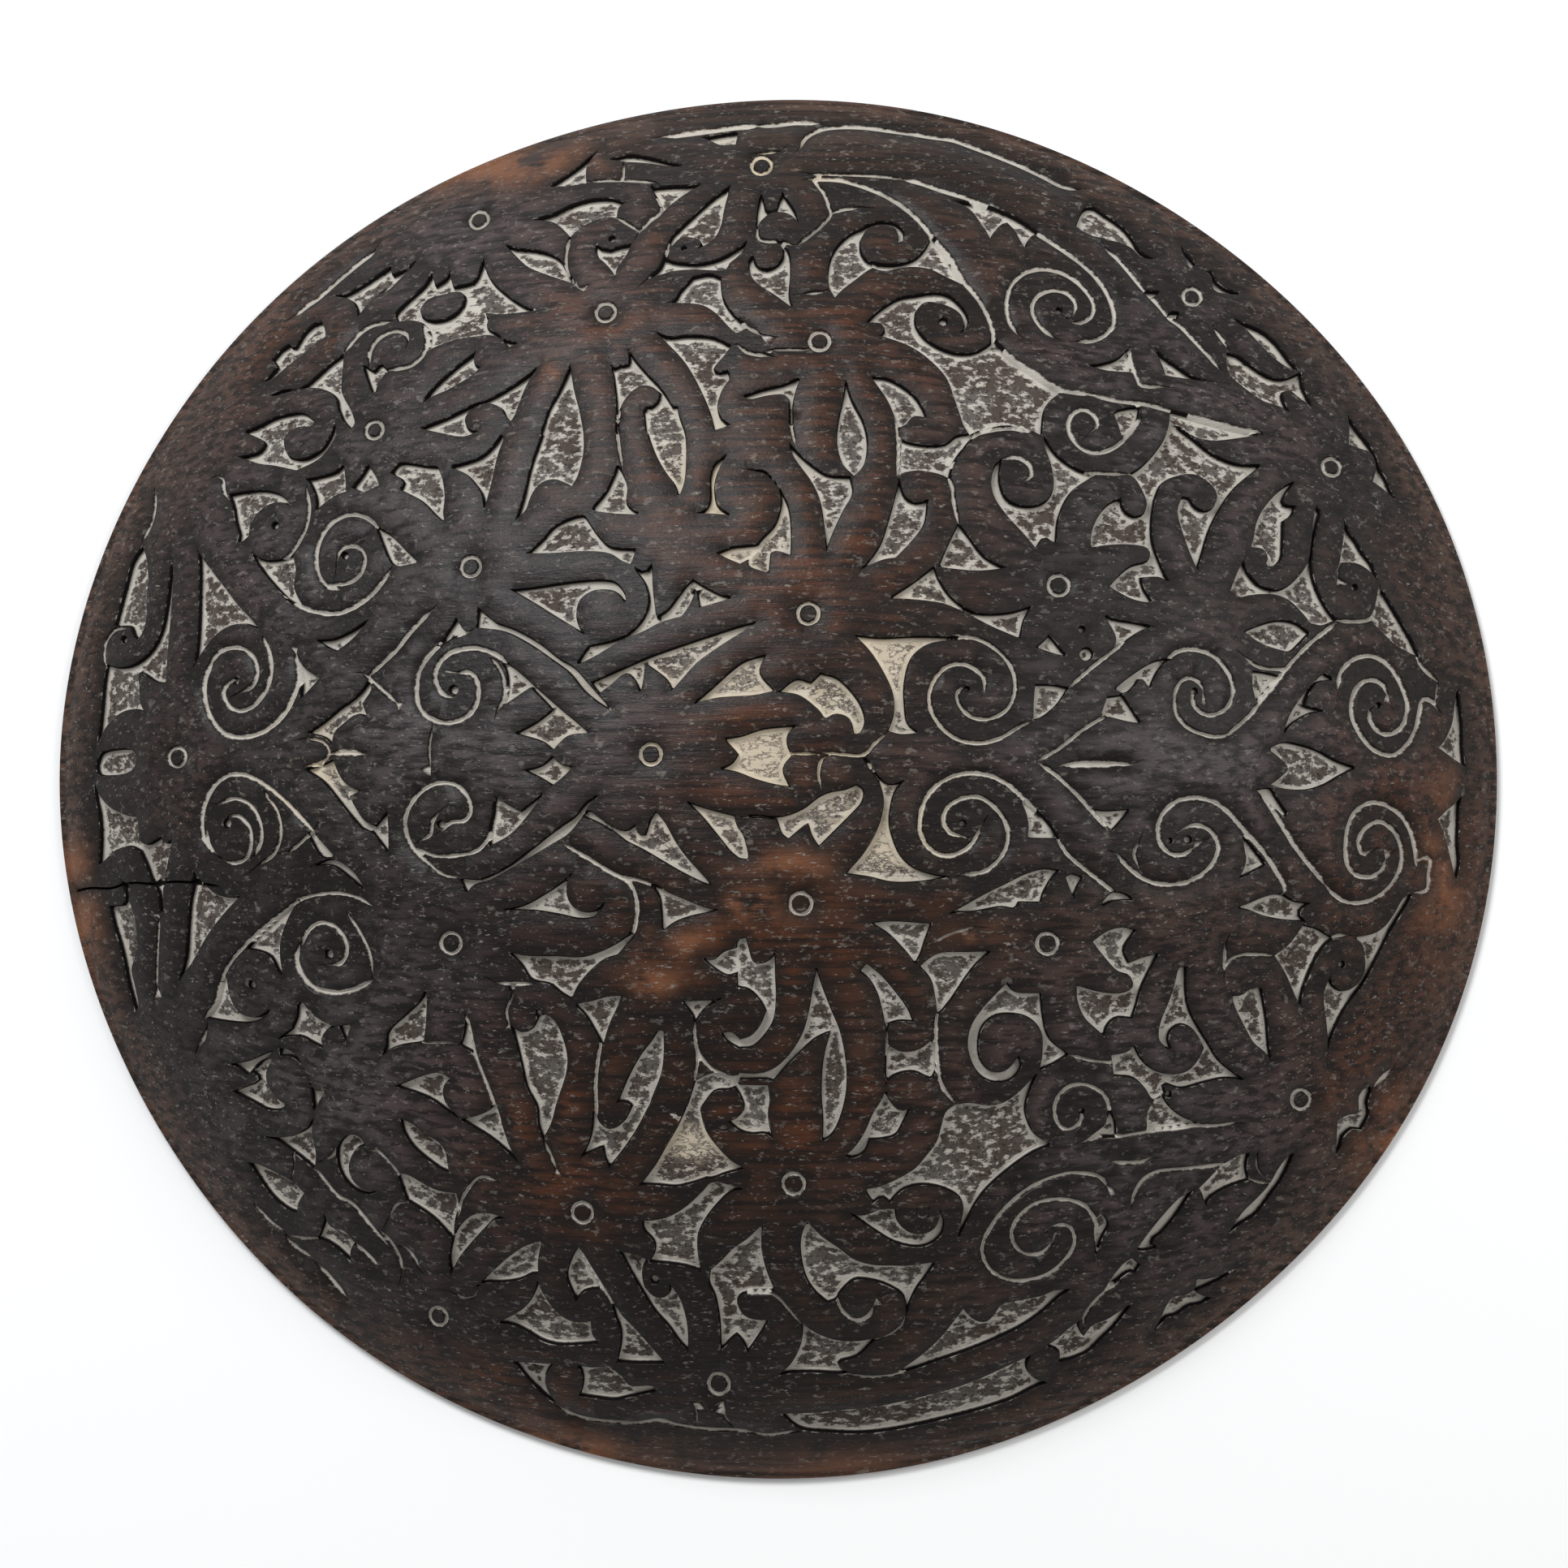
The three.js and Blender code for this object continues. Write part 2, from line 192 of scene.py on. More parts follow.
# Upper half, left edge
POCKETS += [
    "-213,79.5* -211,75 -209.7,68 -209.7,60 -209.5,53 -211,48 -213.5,46.3* -215,49 -216.5,51.5 -222.5,52* "
    "-221,58 -219,66 -217,74",
    "-225,39.3* -220,37.8 -214,38.3 -208,42 -204,48.5 -202.3,57 -201.6,66 -201,77* -199.7,66 -200,52 "
    "-200.5,40 -200.8,31* -205,31.5 -209,34* -211.5,35 -211,30 -210.5,25 -208.5,21.3* -214,22.8 -219,21.5 "
    "-223.5,18 -226.5,13 -228.3,8* -227.3,15 -226.5,24 -226,32",
    "-194,83.5* -190,74.5 -185,68 -179.5,61.5 -174.5,55.5 -169,50 -164,43.8* -168,47.3 -172,49 -177,48.8 "
    "-182,46.3 -186.5,41.5 -190,36 -191.5,31.3* -190,40 -189.5,50 -189.8,60 -190.3,70 -191.5,77",
    "-152.8,37* -150,33.5 -147,31.5 -144,29.5* -147.5,26 -151.5,22* -151,28",
    "-181,94.5* -175,95 -168,95 -162,93.3 -158.5,90.5 -157.2,88* -161,90 -165,89.5 -169,87 -171.5,83 "
    "-172,79* -174.5,77.2 -176.5,77.3* -176,80 -177.5,84 -179,90",
    "-172.5,77.5* -170,73.3 -166,70.7 -160,70.5 -155.5,72* -154,66 -154.3,60 -150.5,53* -155,55.5 "
    "-158,57.5* -161,60.5 -166,66 -170,71.5",
    "-156,98.5* -151.5,97.7 -147,98.3 -142,99.5 -139,102.5* -138,96 -137.5,92* -141,91 -145,88.5 "
    "-148.5,85.5* -148.5,90 -150,94* -152,97",
    "-136,93.3* -133,97 -130.5,101.5* -127.5,97 -126,93.5* -131,91.5",
    "-178.5,107.5* -171,108.7 -169,112 -173,116.5* -166,118 -161,118* -161.5,112 -160,107 -157,105.3 "
    "-153,105 -148,107.5 -145,112 -143.5,118* -142.5,112 -146,106 -150,103 -156,100.7* -164,103 "
    "-171,104.5",
    "-146.5,42.5* -140,42.5 -133.5,45 -126.5,49.3* -130,45 -133.5,41.5 -138.5,38* -142,39.5",
    "-149,11.5* -143,15 -137,19.5 -134,21.3 -130,24.5 -127,28.5* -126,25 -129,20.5* -127,15.5* -131,17 "
    "-135,14.5 -138.5,11.5 -139.5,7.3* -143,10",
    "-228,5* -226,9 -220,10 -214,9.5 -211.5,6.5 -212.5,3 -216,1.3 -222,0.8 -227,1.5",
    "-127,80* -121,76.5 -115,70.5 -110.5,66.5* -114,66 -118,65.5 -121,67 -124,73",
]
GROOVES += [
    (1.3, "-213,81 -210.5,86 -209.3,91 -209.5,98"),
    (1.3, "-217,51 -222,50.7 -225.3,47 -226,42 -225,38"),
    (2.1, "-183.5,37 -186,31 -185.7,24 -183,17.5 -178.5,12.8 -172,11.2 -165,12.3 -158.5,16.3 -154,22.5 "
     "-151.8,30 -153,38"),
    (1.8, "-184.5,36 -181,40 -176,41.3 -171.5,40.3 -168,37 -166.8,32 -168.5,28 -172.5,26.3"),
    (1.8, "-165,44 -162.3,38 -161.8,31.5 -164,25.5 -168.5,21 -173.5,20 -177.5,22.5 -179,27 -176,30.5"),
    (1.5, "-186,101.3 -183.5,100 -182.8,96 -181,93"),
    (1.8, "-124,77 -129,82 -135,84 -141,82.3 -145.3,77.5 -147,71 -146,64.5 -142.5,60 -138,58.7"),
    (1.6, "-141.5,60.8 -136,60.6 -131.5,63 -129.7,68 -131.3,72 -135,73.2 -138.5,72 -139.5,69"),
    (2.0, "-158,57.5 -151,53.3 -145,51.3 -138,50.8 -131,53.5 -125,58.5 -121,64"),
    (1.4, "-152,94 -150.5,87 -151.5,80 -155,73.5 -158,71"),
    (2.6, "-139.5,4.5 -134,4.7 -128.5,4"),
    (1.2, "-149,9.8 -144,9 -141,6.5 -141,3.5 -144,1.5 -149,0.8"),
]
PITS += [
    "-174.5,30,1.5", "-136.8,70,1.5", "-162.5,82,1.5", "-218,47,1.5",
]

# Top, left of the middle
POCKETS += [
    "-76,199.5* -71,203 -66,207 -62,211 -57,215.5* -61,210 -62.5,206 -62,202 -61,200.3* -66,199.5 "
    "-71,199.5",
    "-56,209.5* -48,211.3 -40,209.5 -32,206.8 -27,205.5* -33,205.3 -41,207 -48.5,208*",
    "-24,217* -20,215 -17,213.5 -12,213.5* -11.5,217 -11,219.5*",
    "-81,187* -73,189 -67,192 -60,194 -53,194 -47.5,191.8* -50,190 -50.5,186* -54,186.3 -59,184.8 "
    "-63,182.3 -66,179* -68.5,182.5 -72,185.3 -76,186.3",
    "-40,197.5* -33,198 -26,198 -20,199.3* -26,195.5 -31,191.5 -35,187.5* -36.5,192 -38.5,195.5",
    "-57,177* -55,175 -52,174.3* -48,175.5 -44.5,176* -46.5,171 -49,167 -49.5,163* -52.5,168 -56,171.5 "
    "-57.2,174",
    "-89,178.5* -84,176.5 -78,175.5 -72,173.5 -68,170.5 -65.5,165.5 -63,161.5* -68,163.5 -74,166 "
    "-79,168.5 -83,172",
    "-95.5,174.5* -94,169 -91,164 -87,160 -82,156 -77,153.3 -72.5,152.8* -80,152 -88,151.7 -93,152.5 "
    "-91.5,150.5* -92,147.5 -88.5,145 -85,142.3 -80,141.3* -82,140.3 -84.5,139.3* -87,142.5 -91,144.3 "
    "-97,144 -103,143.3 -110,141 -113.5,139* -112.5,142 -112.5,147 -115,150.5* -119,151.7 -124,151.5* "
    "-125,155 -120.5,160 -115.5,165 -113,171* -112.5,167 -111.5,164.5* -108.5,166.5 -106.8,170* -106,166 "
    "-105,163.5* -101,164 -98,165 -96.5,169",
    "-113.5,120.8* -110,126 -104,132 -98,136.8 -95,139* -95.8,136 -95,134 -93,133* -97,129.5 -104,125.5 "
    "-109,123.5",
    "-113.5,112.5* -104,115.8 -96,119.5 -88,122.5 -79,128 -72,133.8* -76,128 -78.5,122 -80.5,115.5 "
    "-82,113* -84,115 -85.5,118 -89,119.8 -92.5,119.5 -96,117.5 -97.5,114.5 -96,111.5 -92.5,110.3* "
    "-98,108.7 -106,110.5",
    "-62.8,133* -61.3,125 -59,117 -57,108* -72,108* -69.5,117 -66,124",
    "-51.3,137.5* -48.5,131.5 -45.8,131.8 -43.5,132.3 -44,138.5* -41.5,134 -37,128.5 -32,123 -27,115 "
    "-24,108* -37,108* -38,115.5* -36,116.5 -33.5,118.5 -33,121.5 -35.5,123.7 -39,124 -42.5,121.5 "
    "-45,117.5 -46,113.5 -45.5,108* -46.8,108 -47,116 -47.5,122 -49,130",
    "-37,144.8* -31,141.5 -24,141.8 -16,141 -9.5,137.8* -12,134 -15,130 -13.5,128.5 -10.5,129 -9.8,126 "
    "-12,122.5 -13.3,118 -12.3,113 -9,110* -14.5,108* -16.5,115 -20,123 -25,132 -31,139",
    "-34.5,153.3* -29.5,154.5 -27.5,158 -23.5,163* -18,164 -14,162.5* -13.5,158 -12.5,154 -10,150 -5,144* "
    "-8,142 -11,144.5 -15,149 -20,152.3 -27,153.2",
    "-12.5,197.5* -14,190 -15,182 -17,177 -20.5,174 -22.5,173* -21.5,176 -25,177.5 -28.5,177.3 -31,174.5* "
    "-32.3,176 -31,179 -27,183.5 -22,189 -17,194",
    "-38.5,162.5* -34.5,167 -33,172* -31.8,169.5 -27,168.3 -21,168 -14.5,169.8 -9,173.5 -5,177* -8,171 "
    "-11.5,167.5* -13,165 -18,165 -23,165.5* -30,165 -35,163.5",
]
ISLANDS += [
    "-116,155 -113.5,159 -108,160.5 -102.5,161 -101,158 -103.5,153.5 -108.5,151.3 -113.5,152",
]
GROOVES += [
    (1.4, "-49.7,207.5 -49.5,203 -49.8,200"),
    (1.2, "-61,201 -50,200.7 -38,199.3"),
    (2.6, "-36,218 -24,219.3 -14,220.7 -5,221.3"),
    (1.4, "-66,179.5 -66.8,172 -65.3,165 -61,159.5"),
    (1.3, "-50.5,186 -46.5,183.5 -42.5,180.5"),
    (1.5, "-42.5,180 -39.5,184 -35.5,188 -37,193 -39,197.5"),
    (1.5, "-38.5,162.5 -34.5,166.5 -33,171 -32,176"),
    (1.5, "-130,163 -124.5,169 -119.5,174"),
]
PITS += [
    "-51.5,178,1.4", "-27,173.5,1.2",
]

# Top, right of the middle
POCKETS += [
    "61,192* 67,188.5 70,184.5 72.5,180.5 74.5,176* 75,179.5 77.5,183 79.5,183.8* 82,181 84,177 86,173* "
    "86.5,177 89,180.5 92,179* 86,184 78,188.3 70,191",
    "23.5,154.5* 21,160 21,167 23,173 27,178 31,180.5 35,182.7 39,183.4 43,182.5 45.8,179.5 45.5,176 "
    "43,174.8* 43.3,179.5 40.5,181.3 36,181.3 33,179.3 31.5,176.3* 31.8,172 34,168.5 38,166.8* 34,164.5 "
    "30,161 26,157.5",
    "54.5,178.5* 52.5,173.5 49,169.5 43.5,167.5 38,167.5 34.5,169* 36,165.5 40,164.5 47,166 54,165.5 "
    "60,162.5 66,159.5* 63,165 59.5,171.5",
    "10.5,150.3* 8.8,156 9,164 8.3,171 5.5,175.5 3,176.5* 5.3,173.5 5.8,170 4,167 0.5,165.5 -2.5,167.3 "
    "-3.8,171* -5.5,168 -4.5,163 -1,159 4,155.5",
    "-2.5,195* -1,191 0,187.5 2.5,187.5 3.5,190.5 4.8,194.5* 7.5,190.5 10,186 11,181.8* 8.5,185 5,186.5 "
    "1,186 -2,183* -3.5,180 -3.5,187",
    "33.5,145.5* 38,150.5 44,154.8 50,156.2 56,157.3 61,156.2 65,152.5 67.5,148 66.8,144 64.5,142.3* "
    "65.6,146 64.5,149.3 61,151.8 56,153.3 52.5,153 50.3,150.3* 50.2,146 52,142.3 55,139.3 59.5,136.8 "
    "64,135.6 69,136 73,138.3 75.8,141* 80,135.7 87,130.3 93,126.3 98,123* 94.5,120 92.3,116 91.7,111 "
    "91.5,107* 88,108.8 80,110.5 72,108.8 68,107* 66,110 64.5,114.5 62.5,120.5 60.5,126 57,130.5 52,135 "
    "47,138 41,140.2 38,141* 40,143.5 38,145.5",
    "13.5,127* 8,124.3 1,122.5 -6,120* -3,118.7 3,120 8.5,120 9.5,116 10,110* 11.3,110 11.2,117 12,122",
]
GROOVES += [
    (2.2, "-5,221.3 2,221.7 8,222.5 16,222.3"),
    (1.8, "10,212 11.5,216 16,219.3 22,220.5 30,220.5 38,219.5 46,218.3 54,217 61,216 68,213.3 75,210.5 "
     "83,207 91,203 97,199.7 103,198.3"),
    (1.2, "-5,209.8 3,210.5"),
    (1.9, "14,199.5 24,199 33,196 40,192.5 46,188 51,183 55,177.5 60,171.5 63,166 66,160.5 70,155.5 "
     "73.5,149 75.3,143 76,140 82,134 90,128.5 97,123.8 103,122.8 108,122.6"),
    (1.9, "45,199.5 50,198.5 58,195.5 68,192.3 75,189 83,185 90,180 98,174.5 105,169 110,163.5 113.5,157 "
     "115,150 113.5,145.5 109,142 103,140.8"),
    (1.2, "14,201.3 22,201.3 30,201 38,200.5 45,199.7"),
    (1.8, "83,143 80.3,148 79.7,155 81.5,161 86,165.5 92,167 98.5,165.5 104,161.5 107.8,156 107.8,151 "
     "104.5,148 101,147.8"),
    (1.7, "101.5,150.5 102.3,154.5 99.5,158.3 95,159.3 90.5,157.5 88,153.5 88.7,149 91.5,145 95,142"),
    (1.4, "14.5,199.5 18.5,194 20.3,189 21,185 16,179 10.5,174"),
    (1.4, "21,186 25,187.5 31,188.5"),
    (1.4, "13.5,156 20,156.8"),
    (1.3, "-3,182 -2.5,177 1,175.5 5,175.5 9,174"),
    (1.6, "-10,149 -5,144.5 0,141.3"),
    (1.5, "-8,138 -4,135 3,133.8"),
    (1.0, "3,136 16,136"),
]
PITS += [
    "96.8,152,1.3", "59,146.5,1.7",
]

# Top left and top right edges, and all rings of the upper half
POCKETS += [
    "102,184* 104.5,190.5 108,192 112,189.5 118,185 121.5,180.5 124,176 129,172.8* 124,173.3 121,176.5 "
    "118,178 112,179.5 106,181",
    "124,161* 130.5,161 127.5,158.3*",
    "132,152* 133.5,153.8 137,154* 136,151*",
    "136.5,180* 139.5,176.5 142.7,172.5* 140.5,170.5 139,174",
    "144.5,171* 148,170 149.5,166.5 153,164 158.5,163* 156.5,162 151,162 148,163.5 147.5,168",
    "153.5,153.5* 159,151.5 165,149 169.5,145 173.5,139.5 177,135.5* 172.5,136.5 168,139.5 164,143.5 "
    "159,149",
    "152,140.5* 156,139.5 161,136 166,133 171,132.4 177.3,135.3* 178,130 181.3,122.3* 176.5,125.5 173,128 "
    "170.8,126.3 173.5,119* 170.5,121.5 168,122.5 164,123.5 158,127.5 153,132 152,136",
    "127.5,141* 131,137.5 136,134 141,130.8 148,129.3 155,128.5* 145,129 136,129.8 131.5,130.3* 130.5,134",
    "119.5,140* 120.5,135 121,131* 119,130.8 112,131 105.5,132.6* 111,133.8 116,136",
    "123.5,119.5* 122.5,114 120,110 117,108* 116,112 115,117",
    "132.8,118.3* 142,116 152,113.8 165,111.6* 158,110.3 151,108.8 146,108.3 141,109.3 136,112.5 "
    "132.8,114*",
    "192.5,122.3* 195.5,117 199,112.5 202,108 203.5,103 205.5,99.5 207.5,94.5 210,90.5* 205,95 200.5,98* "
    "201.8,103 200.3,108 196,109.5 192.7,110.5* 193,116",
    "-152,164.3* -145,164 -140,166 -134,169.7 -128,173.7* -127.5,170 -123,172 -119,174.5* -124,168.5 "
    "-130,164 -135,159.5 -138.5,154.5* -139.5,158 -141.5,161.3 -146,163",
    "-173.5,133.5* -170,135.5 -167,139* -169,142* -166,145.5 -163,147.3* -161,146 -158,151 -154.5,154 "
    "-151.5,154.5* -150,151 -149.5,148.5* -153,146 -158,142 -163,138.5 -168,134.5",
    "-170.5,128.5* -164,130.3 -157,130.5 -152,134 -147,138.5 -142,142* -142,136 -142,131 -141.5,127 "
    "-138.5,122 -136,116 -137.5,113.8* -140.5,117 -142.8,121.5 -144,125.5 -147.5,128.5 -152,129.8 "
    "-159,129.5 -165,128.3",
    "-177.5,116.5* -172,118 -166,120.5 -160,121.5 -155,121.3 -150.5,118* -152,116 -156,116.2 -160,114.5 "
    "-162,111* -163,109* -168,110 -170,112.5",
    "-135.5,137.5* -133,131 -131,126.5 -129.5,126.3* -128.5,130 -125.5,134* -128.5,136.8 -131,134.5*",
]
GROOVES += [
    (1.5, "112,176 116,172.5 120,167.5 125,161 130,155.5 133,151.5 137,148.5 142,143 147,137.5 149.5,134"),
    (1.5, "148,148.7 150.5,145.5 152.5,142"),
    (1.5, "120,139 121,133 122.5,128.5 124,126.3 131,126.3"),
    (1.7, "108,122 116,120.5 125,119.8 135,117.5 145,115.5 155,113.5 163,112.5"),
    (1.9, "-162.5,157.5 -158,161 -153.5,164 -148,169 -141,175 -134.5,180"),
    (1.6, "-142,142 -138,147.5 -133,151 -126,152"),
    (1.6, "-132.5,137 -132.8,141.5 -130,146 -125,148.3 -120.5,147 -119.3,144"),
    (1.5, "-114.5,150 -113,145 -113.3,139.5 -117,135.5 -122,134.3 -126,134.3"),
]
RINGS += [
    "17,47,4.3", "19,139,4.2", "-52,150.8,4.2", "-93.3,64.3,4.2", "-98.5,188.5,4.2", "-2.7,205,4.3",
    "96.6,57.2,4.3", "186.7,102,4.0", "-33,2,4.3", "-196,5.7,4.2", "141,160,4.0", "-129,113,4.0",
]

# Lower half, right of the middle
POCKETS += [
    "14,11.3* 11,8 11,4.5 12.5,1.5* 9.5,-3 12,-9* 6,-8 0,-6.3 -6,-4 -12,-3* -7.5,-1 -5.4,1.8* -8,4.6 "
    "-10,7* -4,8 3,10.2",
]
LOWER_POCKETS += [
    "19.5,64.5* 18,72 16.5,80 14.3,87 10,93.5 5,97.8 0,99.2 -6,99* -6,101.3 3,101.3 5.5,102* 10,97 15,92 "
    "19,88.5 23.5,86.3* 22,91 20.8,97 20.3,106 20.7,114 20.4,121.2* 23.2,119.6 25.6,116.5 28,110 29.2,103 "
    "29,95 27.3,86 24.5,79 21.5,71",
    "-8,102.8* 4,103* 4.5,108 3.8,113 5,120.5* 2.5,118.6 -2,118.8 -6,117.6 -9.8,114.5* -7,113.6 "
    "-4.5,110.5 -5.5,106.5",
    "27.5,125.8* 31,126.2 34.3,124.3 36,120.6* 40.5,120.2 44.5,118.8 47,114.5 49.2,110.3* 45.5,110.8 "
    "42.5,107.5 41.2,103.5* 39.3,108 36.5,112.5 34,118 31,122.5",
    "-6,91.5* -1,91 3.3,87 6.2,82 7,75 6.8,68 6.8,59.8* 4,63.5 0,64 -1.5,60 -2.5,56* -6,58 -6,72* -2,73 "
    "1.5,76.5 3,79.5* 1,84 -2,87.3 -6,88.7",
    "52,65.3* 55.5,69.5 56.8,75 57.5,81* 59.5,79.5* 63,75 67,69 71,64 76,60* 68,60.3 60,60.5 56,62",
    "41,103* 44,100 50,98.8 55.5,101 57.5,98* 57.5,92 56,88.5 53.5,90.5 50,92 46,92 42.5,90* 41.3,94",
    "50.5,83* 49,79 46,74.5 41,68.5 37.5,65.5 35.5,64* 33,67* 36,69.5 38.5,74 40,79.5 41.5,86.5 "
    "42.8,83.5* 46,82.7",
    "36,51.5* 42,55 47,60 51,65* 53,61 54.5,56.5 56.5,51.5* 50,51 43,50.7",
    "55,51.5* 62,48.7 70,48 78,46.5 82.5,47 84,45* 91,45* 92,41.5 95,36.5 97.5,34.5* 92,33.8 86,35.5 "
    "80,38.5 73,42 65,46.5",
    "101.3,43.8* 102.5,40 104.5,36.5* 101,35.3 98.5,36.5* 99.8,40",
    "86.5,24.7* 97,24.7* 92,18 86,13 82,9.5* 85.5,15 86.8,20",
    "28.5,36.3* 36,37.3 44,39 53,38.7 60,37.5 63.5,36.8* 57,36 51,34 47,30.5 44.7,26 43.2,20 43.8,14 "
    "45,10 48,6.2* 43,7.5 39.5,5 36,0.5 34,-1.5* 36.5,3 39.5,7.5 40.8,13 39.8,19 37.5,24.5 34,30 30.5,34",
    "-6,18.3* 7,19* 8.5,23.5 11,25.5* 14.5,22.5 17,20.5* 18,24 20.5,28* 25,23.5 31,17.5 34.5,13.5 35,9.5 "
    "32.5,7.5* 29,9 24.5,9.8 20.5,11.5 15,15.5 8,17.8 0,17.3",
    "83.5,93* 84.5,97 81,101.3 75,102 70,98.8 67.3,92 68,85 72,78.5 80,70* 83,73 91,73.3* 91.5,80 "
    "93.5,87.5 99.8,93* 95,96 90,98.3* 91,93 90.8,87 88.5,83 84,80.7 77,80.7 72.5,84 71,89 71.5,94.5 "
    "74.8,98.3 79,98.2 82,95.5",
]
LOWER_GROOVES += [
    (1.6, "57.6,80 57.3,88 57.8,96 59,103 63,108.5"),
    (1.3, "41.3,102 41.5,94 41.8,86"),
    (1.0, "56,58 62,55 70,52.5"),
    (1.7, "115,42 110,38 104,33.5 99,29 96,24.5"),
    (1.9, "96.5,24.5 90,16.5 84,10.5 78,6 70,4 62,5.5 56,10 52.8,17 53,24 56.5,28.8 61.5,30.3 66.5,28.5 "
     "70,25 71.5,21.5"),
    (1.8, "66,24 62,23 60,19 61.5,14.8 66,12 71.5,11.7 76.5,15 80,20.5 80.3,26 77.5,31.5 72.5,35.3 "
     "66,36.2"),
    (1.2, "21.3,9 20.5,4 21.5,0 24,-1.5"),
    (1.6, "112,117 112.5,110 110,105 104.5,102.5 99,103.5 95.5,107.5 95,112 96.3,115.5 99,117 102,115.9 "
     "103.7,113.2 103,110.6"),
    (1.2, "99.5,93 108,95 115,95.5"),
    (1.7, "90,0.2 96,4.5 102,10 107,15.5 112,21"),
    (2.0, "98,1 106,0.8 115,0.5"),
]
LOWER_PITS += [
    "66,20,1.4", "103.5,111,1.2",
]
LOWER_RINGS += [
    "14.8,45.6,4.4", "92.8,57.8,4.3",
]

# Lower half, left of the middle
LOWER_POCKETS += [
    "-81,60* -76,64.5 -72.5,69.5 -66.5,71 -63,73.7 -59.3,76* -57,71.5 -53,67 -48.5,63.5 -44,62* -41,58.5 "
    "-37.5,54.5* -40,55 -45,58 -50,60.3 -56,62 -64,61.7 -74,61.5",
    "-84,47.3* -76,47.5 -70,47.8 -63,49 -57,50.3 -52,50 -49,47.5 -47.8,44.5* -51,47.3 -55,47.7 -58.5,46 "
    "-60.3,42.5 -60,38.5 -57,34.5 -52,32.5* -57,34 -61,37.5 -68,42 -75,45.5",
    "-29.8,55* -26,52 -21,50 -15,48.7 -11,47.5* -17,46 -23,43.5 -29,41 -35,38.5* -31,42.5 -30,48",
    "-93.5,42.3* -91.5,39.5 -86,38 -80,35 -72,30.5 -65,26.5 -60,23.5 -56,19 -53,14.5 -49,10* -54,13 "
    "-58,17.5 -64,21.5 -72,27.5 -79,32.5 -86,36 -90,37 -96,36.5*",
    "-55.5,17.5* -50,20 -45,23 -41,26 -36,28.5 -30,32 -24,35.5 -17,39 -12.5,40.5* -16,36.5 -21,31 "
    "-25,25.5 -28,20 -31.5,15.5* -33.5,19 -35,23.5* -37,23 -38,20* -41,22 -45,20.8 -50,17.5 -53,15.5",
    "-22.5,12.5* -17,18 -12,24 -8,29 -5,31.5* -1.5,31.5 -3,24 -5,21 -6,17.5* -12,16 -17,14.5",
    "-75,2.5* -70,4.8 -65,7.8* -61.5,5 -58,1.5* -62,0.5 -65,-2* -69,1",
    "-86,27* -80,24 -76,20.5 -71,14.5 -66,8* -71,12 -75.5,15.5* -80,13 -84,10.5* -84.5,16 -85.5,21",
    "-127,97* -122,92.5 -117,90.5 -110,89.5 -108.8,88.5* -108,83 -107.5,77 -107.5,71* -110,75.5 -115,80 "
    "-120,84 -122,87 -122.5,91",
    "-97,90.3* -92,93* -94.8,80* -95.5,86",
    "-120,103.5* -113,105.5 -107,108 -102,111.5 -97,115* -99,112 -102,109 -103,105 -102,102.5 -99,101.5* "
    "-104,99 -109,99.5 -115,101.5",
    "-70,121* -71.6,116 -72,110 -75,104 -76.5,97 -78,90 -80,82.5* -79,84 -76,86 -72.5,84.5 -70.5,81 "
    "-68,80.3* -64.5,83 -62,89 -61,95 -62,101 -65,109 -67,115.5",
    "-49.3,91* -52,86 -55,81 -59,77* -53,76 -48,74.7 -42.5,74.3* -44.5,79 -47,84",
    "-45.5,108.8* -42.5,108.5 -40,110.2* -37,113.5* -34.9,110.5* -33,106 -30.5,100 -29.5,94 -29.3,86* "
    "-31.5,85.5 -34,89 -38,94 -42,101",
    "-26,116* -23,110 -20,101.5* -14,99 -9,100 -5,99.5* -5,102 -8,104.5 -13,105 -16,108 -18.5,112 "
    "-18.8,116*",
    "-24,76.3* -20.5,80.5 -19.5,84* -17.5,80.5 -14,77.5 -8,74.5 -4,72.5* -12,75.5 -18,76",
    "-11.5,86.5* -9,89.5 -5,91.8* -5,88.5 -8,86",
    "-18,62* -14,65.5 -9,68.5 -5,67.5* -5,59* -10,60.5 -13.5,63",
]
LOWER_GROOVES += [
    (1.6, "-84,70.3 -80,70.5 -72,70.7"),
    (1.7, "-41,58 -38.5,53.5 -37.5,47 -38.5,41.5 -41,38 -46,35.5 -51,32.5 -56,29.5 -61,26.5"),
    (1.5, "-29,41 -36,38.5 -41,37"),
    (1.8, "-104,33.5 -109,29.5 -113,24 -114,17 -110.5,10.5 -104.5,6.5 -98,6.5 -93.5,10 -92,15 -94,18.3 "
     "-99,19 -101.5,21.5"),
    (1.6, "-110,27 -104,29.5 -97,29.5 -91,28.5 -87,25.5 -85,20.5 -84,15 -83.5,11"),
    (1.5, "-109,24.5 -105.5,22.5 -104.8,18.5 -102.5,15.3"),
    (1.4, "-96,36.5 -101,35.7 -105,32.8"),
    (0.9, "-109,89.5 -102,89.3 -97,90"),
    (1.6, "-94.3,80 -92.8,88 -91.5,94 -88.5,102 -86,109 -84,117"),
    (1.1, "-80,84 -80.8,79 -78.5,74.5"),
    (1.5, "-53,118 -52,110 -52,102 -50.5,92 -49,87"),
    (1.4, "-20,101.5 -18.8,95 -19.5,88 -19.5,83"),
    (1.4, "-9,100 -14,98 -18,93.5 -19.5,88"),
]
LOWER_PITS += [
    "-102,19.5,1.6", "-79,72,1.2", "-70.3,80,1.3",
]
LOWER_RINGS += [
    "-99,57.5,4.3",
]

